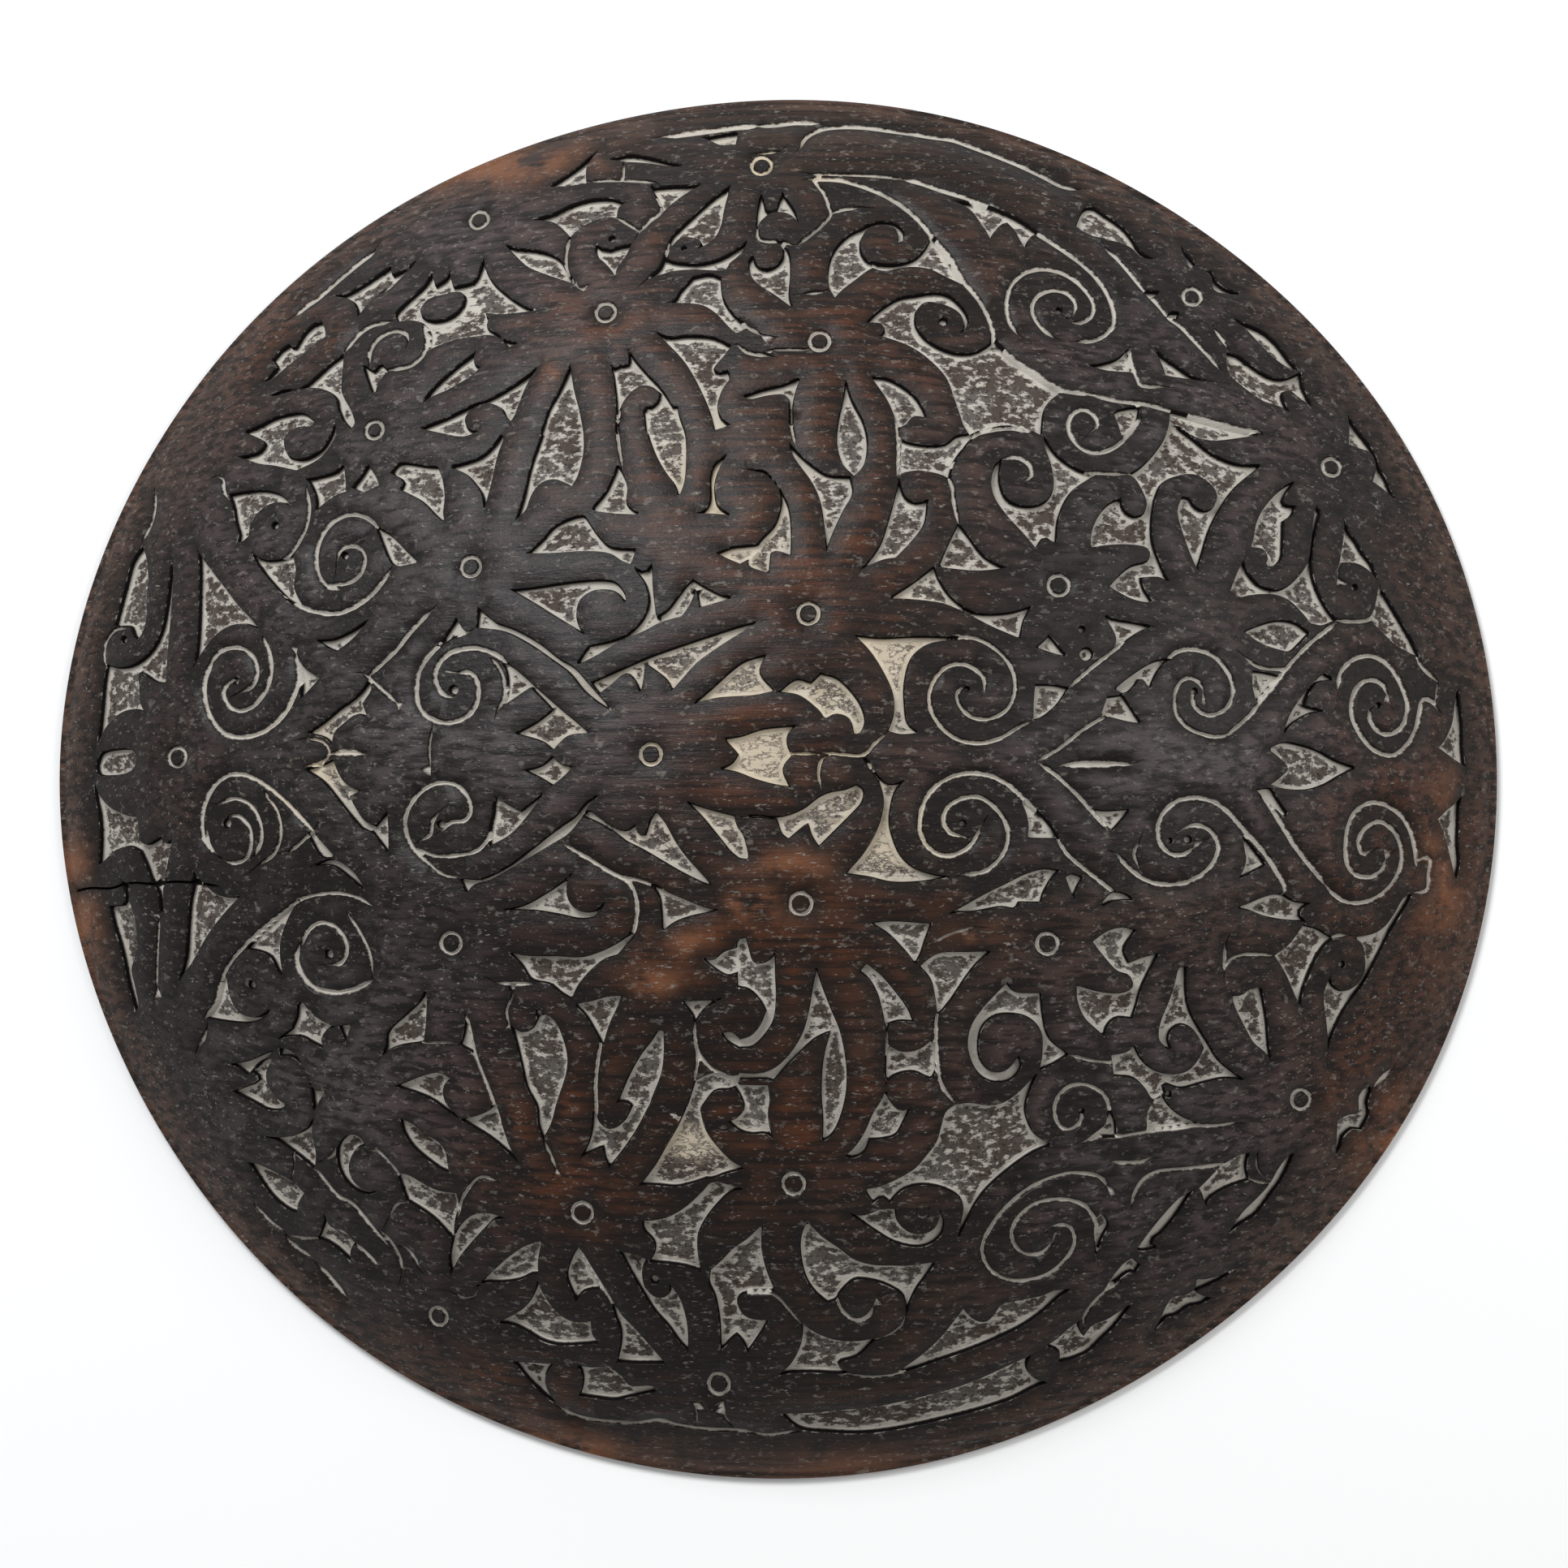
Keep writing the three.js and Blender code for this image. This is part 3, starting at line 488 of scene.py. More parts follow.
# Lower half, right edge
POCKETS += [
    "164,6* 169,8.7 175,8 181,6.3 187,3.3 194,1.2* 188,-2 183,-5 177,-7 170,-7 164.5,-5.5* 168,-3 170.5,0 "
    "168,3",
]
LOWER_POCKETS += [
    "114,100* 120,100.5 124,104 127,108 131,105.5* 130.5,102.5 136,103.8 143,102 150,100.5 157,101* "
    "152,97.5 148,94 144.5,88.5 141,83 138.5,78 137.5,72 137.5,64.5* 134.8,65 133.5,70 131.5,76 129,82 "
    "128.3,87 130,90.3 133,91.7* 131.7,88 132.7,85 135.7,83.3 139,84.5 141.5,87.5 143,90.5* 141,94.5 "
    "137.5,98 132.5,99 127,97.5 123,94 120.8,89.5* 118,92 113,93*",
    "102,70.5* 102.3,76 104.5,81.5 108,85 111,87.5* 112,84 115,81.3 120,81.5* 121.5,77 123.5,70.5 "
    "128.8,60.3* 124,61.5 119,63.5* 117.5,59 121.5,53* 117,52 112,53.5 107,57* 110,61 115,66.5 119,68 "
    "120,71 117,73 110,72.7",
    "165.5,95* 163,92 159.5,89 156,83 153,77 152,73* 155,73.5 158,71.5 162,71* 163,76 164,82 164.5,88",
    "152.5,45.5* 158,46.5 163,48.3 169,49.3 173,49.5 176.5,49.5* 174.5,46.5 178,43.3* 173,42.7 168,40.5 "
    "163,41.5 158,43.7",
    "166,60.5* 169.5,66 172,71.5 174.8,77.8* 176,71 179,63.5 182.5,57.5 186,54.5* 180.5,51.5 175.5,50.3* "
    "173,54 170,57.5",
    "154,36.7* 158,34.5 163.5,31.5* 160,27 155,20.5* 156,26 156.5,31",
    "160,7* 165,6.5 167,9.5 170.5,14.5* 169.5,16 165,12",
    "183,94.5* 185,88 188.5,80 192,74.5 196.5,68.5 201,60 206,50.5 211,42.5 212.5,38.8* 209,41 206,46 "
    "202.5,50.5 198,53 191,53.7* 195,56 196,60 196,65 193.5,69.3 189.5,71.5 186,70 184.5,66.5* 183.5,69 "
    "182.3,73.5 183.3,82 183.8,88",
    "227.5,35* 229,29 228.5,22 228.7,16 229,10 230.3,4* 227.5,8.5 224,11.5 221,14.5* 223,19 224.5,24 "
    "226,30",
    "187,116* 192,113 194.5,111 194.5,106 196,103.5* 198.8,102.3 199,104.5* 198,108 198.5,112 196,117*",
    "109.3,46.5* 114,44.2 121,43.8* 118,41.5 114,41 111,43.5",
    "107,14.5* 112,15 120,14.2* 117,18 113.5,22* 110,18",
]
LOWER_GROOVES += [
    (1.3, "150,57 149.8,61 149.5,66"),
    (1.3, "149.5,66 151.5,62.3 156,60.5 162,60.3 166,60.7"),
    (1.9, "169,40.5 169.5,38.5 167,34 162.5,27.5 157,21.5 151.5,15.5 147,12 141,10.5 135,11.5 130.5,15 "
     "128.3,20 129,25.5 132.5,28.7 136.5,28.7 140,26.5"),
    (1.9, "115,29 119,33.5 124,37 130,38.5 137,37.7 143,34.5 147,29.5 147.5,24.5 144.5,20.5 140,19.3 "
     "136.5,20.5"),
    (1.3, "122,33 120.5,29 122,25"),
    (1.8, "183,37.5 187,41.3 192,43 198,42 203.5,38.5 207.5,33 208.8,26.5 207,20.5 203,16.8 199.5,16.5 "
     "196,19 194,23 195.5,27 198.5,25.5"),
    (1.8, "203.3,28.5 202,32 198,34.3 193.5,34 190.5,31 189.7,26 190.3,19.5 192.5,14 197,10.5 202,10.3 "
     "208,13.5 211.5,18.5 213.3,25 213.7,30.5"),
    (1.6, "213,39 217.5,38 218,33 218.3,27.5 213.7,28.5"),
    (1.9, "183,37.5 178,31.5 173,25.5 168.5,18.5 164,11.5 160.5,7"),
    (1.3, "176,70 179,62 183,56 187,53.7 191,53.5"),
    (1.9, "200,102.5 203,99.5 205.5,97"),
]
LOWER_PITS += [
    "138,24,1.6", "132,24.5,1.2", "188.5,63,1.4", "131.7,105.5,1.3",
]
LOWER_RINGS += [
    "175.3,107,4.1",
]

# Lower half, left edge
LOWER_POCKETS += [
    "-214,78.3* -212.3,76 -213.3,70 -214.5,64 -213,60 -212,54 -212.5,47 -214.5,41 -214.5,36.5* "
    "-217.5,33.5 -220.5,30* -218,34 -216.5,38.5 -217,42 -220,42.5 -223,42.5* -221.5,49 -219.5,55 -218,61 "
    "-216.5,69",
    "-227,29.5* -223,26.5 -219.5,24 -214.5,23.3 -210.5,25* -208,30 -206,35 -203.5,39 -202.8,45.5* "
    "-201.2,45 -201.2,38 -200,32 -198.5,26 -197.5,21.3* -200.5,22.5 -202,20* -204.5,21.5 -207.5,22.5 "
    "-210,21.5 -210.5,17 -211.5,13* -217,12 -222,9.5 -226,5.5 -228.8,-0.5* -228.3,6 -226.8,12 -226.3,20",
    "-197.5,72.5* -195,67 -191,62.5* -189,59.5 -184,52.5 -178.5,46.5 -174,42.5 -165.5,35.5* -171,39.5 "
    "-174.5,41 -180,40.5 -184,38 -188,34 -190.5,30.5* -190,36 -191.5,42 -192.5,50 -193.5,59 -195,64",
    "-148,22* -143.5,29 -138,29.3* -142,25 -146,20.7*",
    "-187,80.8* -180,82 -173,82.7 -168,82.3 -163.5,80 -162,77* -165,79.3 -169,80.5 -173,79.5 -175.5,77 "
    "-177.3,73 -178,67.5* -180,67.5 -181.3,71 -183,76",
    "-171,58.3* -166,59.3 -162,61.3 -159.5,66 -157.5,67.5* -158.3,60 -157.5,54 -154.5,47.5 -151,42.8* "
    "-156,46 -161,49.5 -166,53.5",
    "-162,88.7* -157,87.3 -152,87.3 -148,89.3 -143.5,91.5* -144.5,88 -142.5,85 -139,84* -143,82.5 "
    "-147.5,79.5 -151,75.5* -153,76.5 -153.5,80.5 -155.5,84.5*",
    "-178.5,105* -172,108 -166,111 -161,111.3 -158,109.3* -161,107.5 -163.5,104.5 -165,101 -164.5,97.5 "
    "-162,94* -166,94.5 -169,97 -172,98* -168,100.5 -170.5,102.5* -174,103.5",
    "-180.5,95.8* -176,97 -172,99.8* -169,96.5 -165,94.3 -160.5,91* -166,92.5 -173,95",
    "-160,93.5* -156,93.7 -152.5,96 -150.5,99* -153,93.8 -156.5,91.3 -160,90.5*",
    "-148.8,113* -146.5,108.5 -143.5,104.5* -147.5,104.5 -150,99.5* -149,106",
    "-138.5,83.5* -136,89.5* -134.5,85 -133,83*",
    "-149.5,33* -143,31.8 -138.5,32.5 -133,36.5 -127,41.5* -131,35 -136,31 -141,29.7",
    "-149.5,0.3* -143,4.5 -138.5,9.5 -134,15 -129.5,20* -126,21.5 -124,19.5* -128,17.5 -131.5,12.5 "
    "-133,9.5* -129,7.8* -134,5.8 -137,2 -139,-3* -143,-1.3",
    "-126,21* -122,26 -119.7,29* -119.7,22 -120,14.5* -123,17.5",
]
LOWER_GROOVES += [
    (1.9, "-183,26 -186,21 -186.3,14 -184,7.5 -180,2.8 -174.5,0.9 -168,2.3 -161,6.5 -154,12.5 -149,17.5 "
     "-146,20.5"),
    (1.4, "-155,27.3 -151.5,25 -148.5,22.5 -145.5,20.3"),
    (1.5, "-181.5,26.5 -184,23.5 -184.5,19"),
    (1.6, "-178,29.3 -174,30.2 -170,28.5 -168.3,24 -169,18.5 -172.5,15 -176,14.5"),
    (1.6, "-167,28 -164.5,22.5 -165.5,16 -169,11 -174.5,9 -180,10.5"),
    (1.3, "-165.5,31 -160,27.5 -157.5,21 -159,13.5 -163,8.5"),
    (1.7, "-190,90.5 -188,87.5 -186.3,84.3"),
    (1.5, "-187,80.5 -183,76 -181,70 -177.5,63.5 -172,57.8 -165,52 -158,47.3 -151,42.8 -145,41.2 "
     "-138,40.8 -131,42.3 -126,45"),
    (2.2, "-151.5,57.5 -152.5,62 -150.5,67.5 -146,71.5 -139,73 -132,71.8 -126,69"),
    (1.7, "-150.5,57.5 -148.5,53 -144,50.3 -139,51.5 -135.5,55.5 -134.8,60 -137,63.5 -141,64"),
    (1.3, "-126,67 -127,60 -130.5,53 -134,48"),
    (1.0, "-205,71 -204.5,63 -203.8,55 -203,47"),
]
LOWER_PITS += [
    "-177,17,1.8", "-169,70,1.6", "-141,60.5,1.8",
]

# Bottom, left of the middle
LOWER_POCKETS += [
    "-84.5,193.8* -80,200 -74.5,205.8 -69,209.8* -71.5,206.5 -73.6,202.5 -73.6,198.5 -70.5,194.4*",
    "-63,205.6* -57,206.3 -51,206.9 -46,205.8 -36.5,203.6* -38,201.3 -45,201.4 -48,198 -52,194.8* "
    "-58,195.3 -63.5,194.3* -61.5,197.5 -61.5,201.5",
    "-49.5,193.8* -42,194.2 -32.5,194* -37,188.5 -42,182.5 -47,177 -50.3,172* -48.9,178.5 -47.5,183 "
    "-47.8,188",
    "-90,181.2* -84,181.8 -79,184 -74,187 -68,188.4 -60,188 -54.5,187.4* -56.8,184 -57,179.8* -62,180.2 "
    "-66,178.6 -70,174.8 -73.2,169 -73.8,165* -75.3,169.5 -78,174 -82,177.5",
    "-97,170.2* -92,167.8 -86,167.6 -80,166.6 -75.5,164.6 -73.6,165.6* -73.5,160 -71.5,153.2* -78,155.3 "
    "-84,159 -90,164",
    "-61.5,173.5* -59,170.5 -54.5,169.5 -52,170.5* -55,165.5 -58,160 -60.3,155.5* -62.5,159 -64.5,164.5 "
    "-63.5,169",
    "-25,190* -28,186.8 -31.5,181.5 -35.5,176.8 -39,171 -42.5,164.5 -46.5,156.5* -40,157.8 -37,159.6* "
    "-38.8,163 -38.5,168 -35,171.5 -31,171 -30.2,167* -27,172 -25.3,178 -24.7,184",
    "-14.6,190* -11.5,186.6 -9,184.3* -6.8,187 -5.8,190.5* -3.5,187.5 0,182.5 2,179* -2,178.8 -5.5,177.8 "
    "-7.8,175 -7.6,171.8 -4,170.2 4.5,169.8* 2.2,164 0.6,156 1.2,147* -4,152 -9,155.5 -13,159.5 "
    "-17,162.8* -17.5,167 -15.6,172 -14.6,180",
    "-37,160.4* -30,160.9 -24,161.9 -19.5,163.5* -20.3,157 -20,151.5 -17.5,146.5 -13.5,141.5 -9,137.5 "
    "-4,136.2* -9,135 -13,133.8* -16,134.4 -19,137.5 -24,142 -29,145 -34,146.3 -38.5,146.6* -38,150 "
    "-35,153.5 -35,157",
    "-39,135.2* -33,135.3 -27,135.8 -22,134.8 -17,133.2* -14.5,133 -10.5,131.5 -4,129.8* -9,126.8 "
    "-13,122.5 -16.5,117.5 -18.3,110* -23.2,110* -26.3,116.5 -30,122.5 -34,129",
    "-58,126.5* -54,124.5 -50.5,123* -50,126.5 -48.5,129.8* -46,127 -42,122 -38,116 -33,107* -40.5,109.4* "
    "-43.5,114.5 -47.5,117 -51,115 -53.5,110* -54,117 -55.5,122",
    "-102,154* -105,150.5 -108.5,146.8 -113,143.6 -117.5,141* -119,136.5 -120.5,131.5* -116,132.2 "
    "-111,135 -106,137.2 -100,138* -99.5,142 -101,147",
    "-103.6,165.2* -100.5,160 -96,155 -91.5,150.5 -87.5,147 -83.5,146* -90,144.4 -96,145.6 -101,150 "
    "-103.5,156.5 -104.2,161",
    "-102,131.5* -105,130.5 -110,127 -114.5,123 -117.5,118 -118.3,113.5* -114,115.5 -110,118.5 -105,121.5 "
    "-103,124.5 -102.5,128",
    "-77.5,129* -81,123 -83,117 -85.5,109* -89,111.5 -94,113.3 -98.5,113.8* -92,117.5 -86,121.5",
]
LOWER_GROOVES += [
    (1.4, "-70,209.2 -65,212 -58,213.6 -50,214.2 -43,214.3 -36,213.2 -30,215 -20,216.2 -12,216.4 -5,217"),
    (1.0, "-24,215 -23.5,212 -23.8,208.8"),
    (1.0, "-12,214.5 -14,212 -14,210.5"),
    (1.4, "-47,178 -50.5,172 -54,166 -57.5,160 -60,155.5"),
    (1.2, "-66,130 -67.5,126 -69.8,120.5"),
    (1.4, "-100,146 -98.5,140.5 -95.5,136 -91.5,132.8 -86,134"),
    (0.8, "-104,170.5 -100,172.6 -96.5,172.4 -94.5,169.5"),
    (1.5, "-120.5,164 -121.5,159 -124,154.5 -127,151"),
    (1.3, "-121,155.5 -117,158 -114.6,163"),
    (1.2, "-119,132.5 -122,129 -127,123.5"),
    (1.2, "-117.5,141.4 -121,142 -123.8,146"),
]
LOWER_PITS += [
    "-35,166,1.7",
]
LOWER_RINGS += [
    "-58,144.2,4.3", "-15.6,200.6,4.4", "-109.3,179.2,4.0",
]

# Bottom, right of the middle
LOWER_POCKETS += [
    "4,210.4* 10.5,216 20,217.2 30,217.6 40,216.6 50,214.6 60,212.2 70,209.6 80,206.2 87,202.6 93,200* "
    "88,198.8 85.6,195.6 86.3,192 90.5,188.3* 84,192 78,194.8 70,198.5 62,201.5 55,203.5 45,206 35,208 "
    "25,209 15,210",
    "3,198* 8,197 16,196.8 24,197.2 28,196.6* 24,194.5 25,193* 30,191.5 33.5,188.5 37,184.7* 30,185.8 "
    "24,185.5 18,183.6 14,181 12.3,179.5* 12.2,184 11,189 8,194",
    "42,197* 48,195.8 56,193 63,190.6 70,188 78,184.5 85,180.8 91,176.5 96,172 101,168.5* 95,169.2 90,171 "
    "85,172 80,173 77,174 75,177 72,179.5 68,178.5 65,175* 62,179 58,184 54,188 50,191.3",
    "21,173.6* 17,170 14,165 12.6,158 12.8,152 15,146.5* 17,148.5 20,151.5 25,155 30,158.8 36,160.6 "
    "42,160.8 48,160.8 57,159.5* 53,165 49.5,170 46.5,177* 46,173 45,170.5 42,168.5 38,166.8 33,165.8 "
    "29.5,166.2 25.5,170 24,172.5",
    "27.5,143.3* 32,146.5 37,150 43,153.6 50,155.2 55,154 58.5,150.8 59.4,146.5 58,142.3* 57.4,146 "
    "55.8,149 52,150.6 47.5,149.8 44.5,146.5 44,142.5* 39,142.6 33,144.6",
    "36.4,141* 34,136.5 38,135.5 44,133 50,129.5 54,125 57,121 58.5,116 60,111.5 63,109* 68,108.4 "
    "74,109.2 79,108 84,104.4 90.3,97.5* 87.5,104 85.8,109.5 86.5,114 89,118.5 94.5,122* 88,124.6 "
    "80,130.2 73,136.5 69,142 66,148 63,153.5* 64.5,147 65.2,142.5 63.5,138.5 58,135.8 52,135 47,136.2 "
    "44,138.5 42,141* 39.5,139",
    "91.5,187.8* 96,190.3 95.3,193.8* 101,192.4 106,190 110,186 115,181 121,172.6* 112,178.8 107,180.8 "
    "104,184.5* 102.5,181 103,179* 99,182 95,185.5",
    "108,158* 110.4,152 112.5,147.5 110,143.5* 107.5,147.5",
]
LOWER_GROOVES += [
    (1.0, "27,197.2 34,198 41,197.5 46,196.2"),
    (0.8, "46.5,176.5 45,180.5 41.5,183.5 37,185.5"),
    (1.7, "24,171.5 25.5,175.5 28.5,178.6 31.5,179 34.3,177.5 36,174.5"),
    (1.0, "-6,170.4 2,170.3 5,171.5 8,175 12,180"),
    (1.2, "-6,217 0,218 10,216.5"),
    (1.0, "50.5,143.5 51.5,145.3 53.5,145 54.3,143.6"),
    (1.5, "112,135.5 109.5,132.3 104,131 98,131.3 90,134 83,138.5 77,144.5 72.5,151.5 71.3,157 74,162.5 "
     "79,165.6 85,166 92,164.2 97.5,160 101,154.5 100.5,149.5 97.5,147.8 93.5,148.5"),
    (1.6, "94,153.5 91,156.7 86,157.5 82.3,155 80.8,150.5 83,145.5 88,141.3 94,139.6 100,139.8 105,142 "
     "108,147 108.8,152.5 108,158"),
    (1.2, "104,181.5 104.6,177.5 109,171.8 116,166.5"),
]
LOWER_RINGS += [
    "11.2,134.6,4.4",
]

# Bottom left and bottom right edges
LOWER_POCKETS += [
    "-150.5,153.8* -146,155.5 -142,158.5 -138.6,161.8* -138.5,157.5 -136.5,155* -140,151 -145,149.5 "
    "-147,145* -148,149",
    "-157,145.5* -161,144 -166,140 -170,134.5 -174,128.3* -170,129 -164,131.5 -158,134.5 -153.5,138.5* "
    "-156,141.5",
    "-170,119.4* -163,121.2 -157,125 -153,128 -149.3,131* -148.5,125 -149.5,118.5 -148,112* -151,116.5 "
    "-155,118.8 -160,120",
    "-127,137.6* -131,139 -136,137.2 -139.8,133 -141.3,128 -140.5,122.5 -137,119.2 -133,119.6 "
    "-130.3,122.8* -133.5,123.6 -136,126.5 -137,130.5 -135.5,134.5 -132,137",
    "110,170.5* 115,166.5 119,163.6 121,164* 122.8,161* 120,158.6* 117,160.5 113,165.5",
    "121,156.2* 124,156.6 129,155.4* 126.5,153.6 129.5,151* 133,147 136.5,142 140.3,136* 135,139.2 "
    "130,144.5 125.5,150",
    "144,142.5* 145.5,139.5 150,136.5 155,134.5 158.5,133.5* 157.5,129 158.5,124* 154,125.5 149,128.5 "
    "145,132.5 141.5,136* 143,138.5",
    "150.5,152* 155,148.5 160,145.5 163,142.3 166,138 169,134 172,128 173.5,123.4* 170.5,126 167.5,130 "
    "165,134.5 161,139 156,144",
    "126,184.5* 129.5,181 131.5,179 135,178 139,175.3 143,174.5 147,172* 143,171.5 141.5,170* 146,168 "
    "150,166 154,162.5* 148,165 143,166 141,165.4* 140.8,168.5 138,171 133.5,171.8 131,175 129,179.5",
    "104,120.6* 108,119.4 115,119.2* 114.5,114 112.6,110.5* 111.5,114.5 109.5,116.6",
    "124.5,117.6* 131,117 138,115.8 145,115.2* 138,113.4 133,110 130,106* 127.3,107.6 124.8,111",
    "187,125.5* 189,122.5 190,119 193,116.5 196,115 196.5,112* 192,111.6 187.5,113.5* 187.3,119",
]
LOWER_GROOVES += [
    (1.9, "-142,172.8 -146,168 -150.5,162.8"),
    (1.7, "-153,160 -158,157.3 -161.5,154"),
    (1.2, "-161,153 -155,153.7 -149,153.6"),
    (1.7, "-129,162.5 -132.5,159 -136.8,155"),
    (1.2, "-162,151.5 -166.5,148.8 -172.5,142.8"),
    (1.5, "-149.5,130 -146,134.5 -142,139.2 -137,141.8 -133.5,145.5 -130,150 -125,156"),
    (1.2, "-156.5,128.8 -156.7,125"),
    (1.4, "-146,127.5 -142.5,126 -141.5,123.5"),
    (1.3, "-130,124.5 -127,124.4 -124.5,125.5"),
    (1.5, "119.5,141.5 121,137 123.5,133.2 128,130.6 135,129.8 142,129.2 150,128"),
    (1.7, "113.5,127.3 118,127.6 123,127.4 126,126"),
    (1.2, "158,132.8 162,134.2 166,134.5"),
    (1.3, "104,121 110,119.2 117,119 124,117.8 132,117 140,115.8 148,115.6 154,114.4"),
    (0.9, "160.8,124.5 160.8,129 163.5,132.8"),
]

# The crack from the left rim
LOWER_CRACKS += [
    (0.9, "-242,37.3 -236,37 -230,36.4 -222,36.8 -217,35.7 -212,35.3 -205,36 -198,35.5 -190,36 -180,37.5"),
]

MM = 0.001

# The shell, as in the CAD, in millimetres
MEAN_RADIUS = 236
OVAL = 4.9
DOME_RADIUS = 350
WALL = 11
RIM_EDGE = 2.5
EDGE_CHAMFER = 1.5
DOME_CENTRE = RIM_EDGE - math.sqrt(DOME_RADIUS ** 2 - MEAN_RADIUS ** 2)
ROUND_STEPS = 480
BOWL_STEPS = 14

# The carving
POCKET_DEPTH = 2.6
WALL_RUN = 0.65  # how far a pocket's wall leans in
LIME_REACH = 2.3  # how far the lime spreads over a pocket's floor
GROOVE_DEPTH = 1.5
RING_WIDTH = 2.0
GROOVE_WIDENING = 1.3  # the grooves as worn, over the widths in the lists
CRACK_DEPTH = 3.0
EDGE_ROUNDING = 0.22  # how far the top edges of the cuts are worn down
EDGE_REACH = 0.4  # over what distance they are
# The painted shade on the tops beside each cut
EDGE_SHADE_REACH = 1.3  # how far the dark line beside a cut reaches
RIM_ROUNDING = 1.4  # how far, and over what distance, the face turns down at the rim
RIM_REACH = 11  # how far the rim's own colour reaches in
SHARP_ANGLE = math.radians(38)  # edges steeper than this stay sharp in the shading
PILLOW = 0.75  # how much the bands rise between their edges
PILLOW_REACH = 4.6  # over what distance from an edge
ROW_STEP = 1.35  # along the cuts
RING_STEP = 0.9  # along the rings
FIELD_STEP = 4.2  # over the plain areas
HALF_FIELD = 250
TRIANGLE_HEIGHT = 0.866  # of an equilateral triangle with sides of 1
RIM_INSETS = (0.0, 1.2, 3.0)  # the rings of points along the rim
RIM_CLEAR = 1.5  # how far from the outline the cuts' points stay
FIELD_CLEAR = 5  # and the plain areas' points
ROW_CELL = 0.3  # points closer than this are thinned out, along the cuts
FIELD_CELL = 1.5  # and over the plain areas
ROW_REACH = 3.0  # how far from a cut its distance is measured, to choose the points
FACE_REACH = 6.0  # and to carve the face
DEPTH_SLACK = 0.12  # how far a row's point may lie from its depth once the cuts overlap
DEPTH_SHARE = 0.15  # and which share of that depth on top
TAPER = 4.0  # length over which a groove's end runs out

# Where the wood's colour changes, and where a sheen is painted on the tops: the middle of an oval and its
# half width and half height
# Painted sheen: in these ovals the tops are painted a paler, cooler grey, standing in for the key light's
# reflection
SHEEN_PATCHES = [
    (-100, 15, 80, 50), (135, 8, 85, 40), (-140, 80, 55, 55), (-90, 165, 60, 40), (120, 110, 60, 50),
    (120, -115, 60, 50), (-135, -100, 60, 55),
]
WARM_PATCHES = [
    (18, 60, 45, 48), (-45, 152, 45, 32), (5, -55, 62, 26), (-2, 5, 28, 30), (-30, 88, 26, 14),
    (20, 140, 40, 30), (205, -25, 30, 45), (-90, -205, 45, 14), (-165, 160, 30, 35),
    (200, -105, 20, 22), (10, -110, 50, 30), (-60, -120, 40, 35),
]
WORN_PATCHES = [
    (-232, -50, 6, 12), (-236, -28, 5, 7), (-32, -70, 9, 4), (-20, -58, 6, 4),
    (63, -55, 10, 5), (12, -33, 12, 4), (-90, 208, 32, 7), (-68, 132, 4, 6), (222, -30, 7, 26),
    (205, -118, 12, 14), (-60, -222, 35, 5), (20, -226, 22, 4), (0, -46, 12, 5),
]
CREAM_PATCHES = [
    (0, 5, 50, 30), (-10, 85, 20, 28), (38, 34, 22, 22), (40, -25, 20, 14), (0, 205, 28, 10),
    (-150, 0, 14, 16), (-22, -122, 18, 7),
]


def outline_radius(angle):
    return (MEAN_RADIUS + OVAL * np.cos(2 * angle) + 0.65 * np.sin(3 * angle)
            + 0.55 * np.cos(4 * angle + 0.45) - 0.35 * np.cos(7 * angle))


def outline_ring(inset=0.0):
    angle = np.arange(ROUND_STEPS) * 2 * math.pi / ROUND_STEPS
    radius = outline_radius(angle) * (1 - inset / MEAN_RADIUS)
    return np.stack([radius * np.cos(angle), radius * np.sin(angle)], 1)


def read_points(text, flip):
    """The x,y pairs of a line of the pattern, and whether each is a corner."""
    words = text.split()
    corners = [word.endswith("*") for word in words]
    points = np.array([[float(part) for part in word.rstrip("*").split(",")] for word in words])
    points[:, 1] *= flip
    return points, corners


def smooth_run(points, before, after, step):
    """Points evenly along a Catmull-Rom curve through one run of points, without its last one."""
    control = np.vstack([before, points, after])
    t = np.linspace(0, 1, 9)[:-1, None]
    pieces = []
    for a, b, c, d in zip(control, control[1:], control[2:], control[3:]):
        pieces.append(0.5 * (2 * b + (c - a) * t + (2 * a - 5 * b + 4 * c - d) * t ** 2
                             + (3 * b - a - 3 * c + d) * t ** 3))
    dense = np.vstack(pieces + [points[-1:]])
    length = np.concatenate([[0], np.cumsum(np.linalg.norm(np.diff(dense, axis=0), axis=1))])
    count = max(1, round(length[-1] / step))
    at = np.linspace(0, length[-1], count + 1)[:-1]
    return np.stack([np.interp(at, length, dense[:, i]) for i in (0, 1)], 1)


def closed_path(text, flip, step):
    """The outline of a pocket as points along it, anticlockwise."""
    points, corners = read_points(text, flip)
    starts = [i for i, corner in enumerate(corners) if corner]
    if not starts:
        points = np.vstack([points, points[:1]])
        path = smooth_run(points, points[-2:-1], points[1:2], step)
    else:
        points = np.roll(points, -starts[0], axis=0)
        marks = [i - starts[0] for i in starts] + [len(points)]
        points = np.vstack([points, points[:1]])
        runs = []
        for first, last in zip(marks, marks[1:]):
            run = points[first:last + 1]
            runs.append(smooth_run(run, 2 * run[:1] - run[1:2], 2 * run[-1:] - run[-2:-1], step))
        path = np.vstack(runs)
    nxt = np.roll(path, -1, axis=0)
    area = np.sum(path[:, 0] * nxt[:, 1] - path[:, 1] * nxt[:, 0])
    return path if area > 0 else path[::-1]


def open_path(text, flip, step):
    points, _ = read_points(text, flip)
    path = smooth_run(points, 2 * points[:1] - points[1:2], 2 * points[-1:] - points[-2:-1], step)
    return np.vstack([path, points[-1:]])


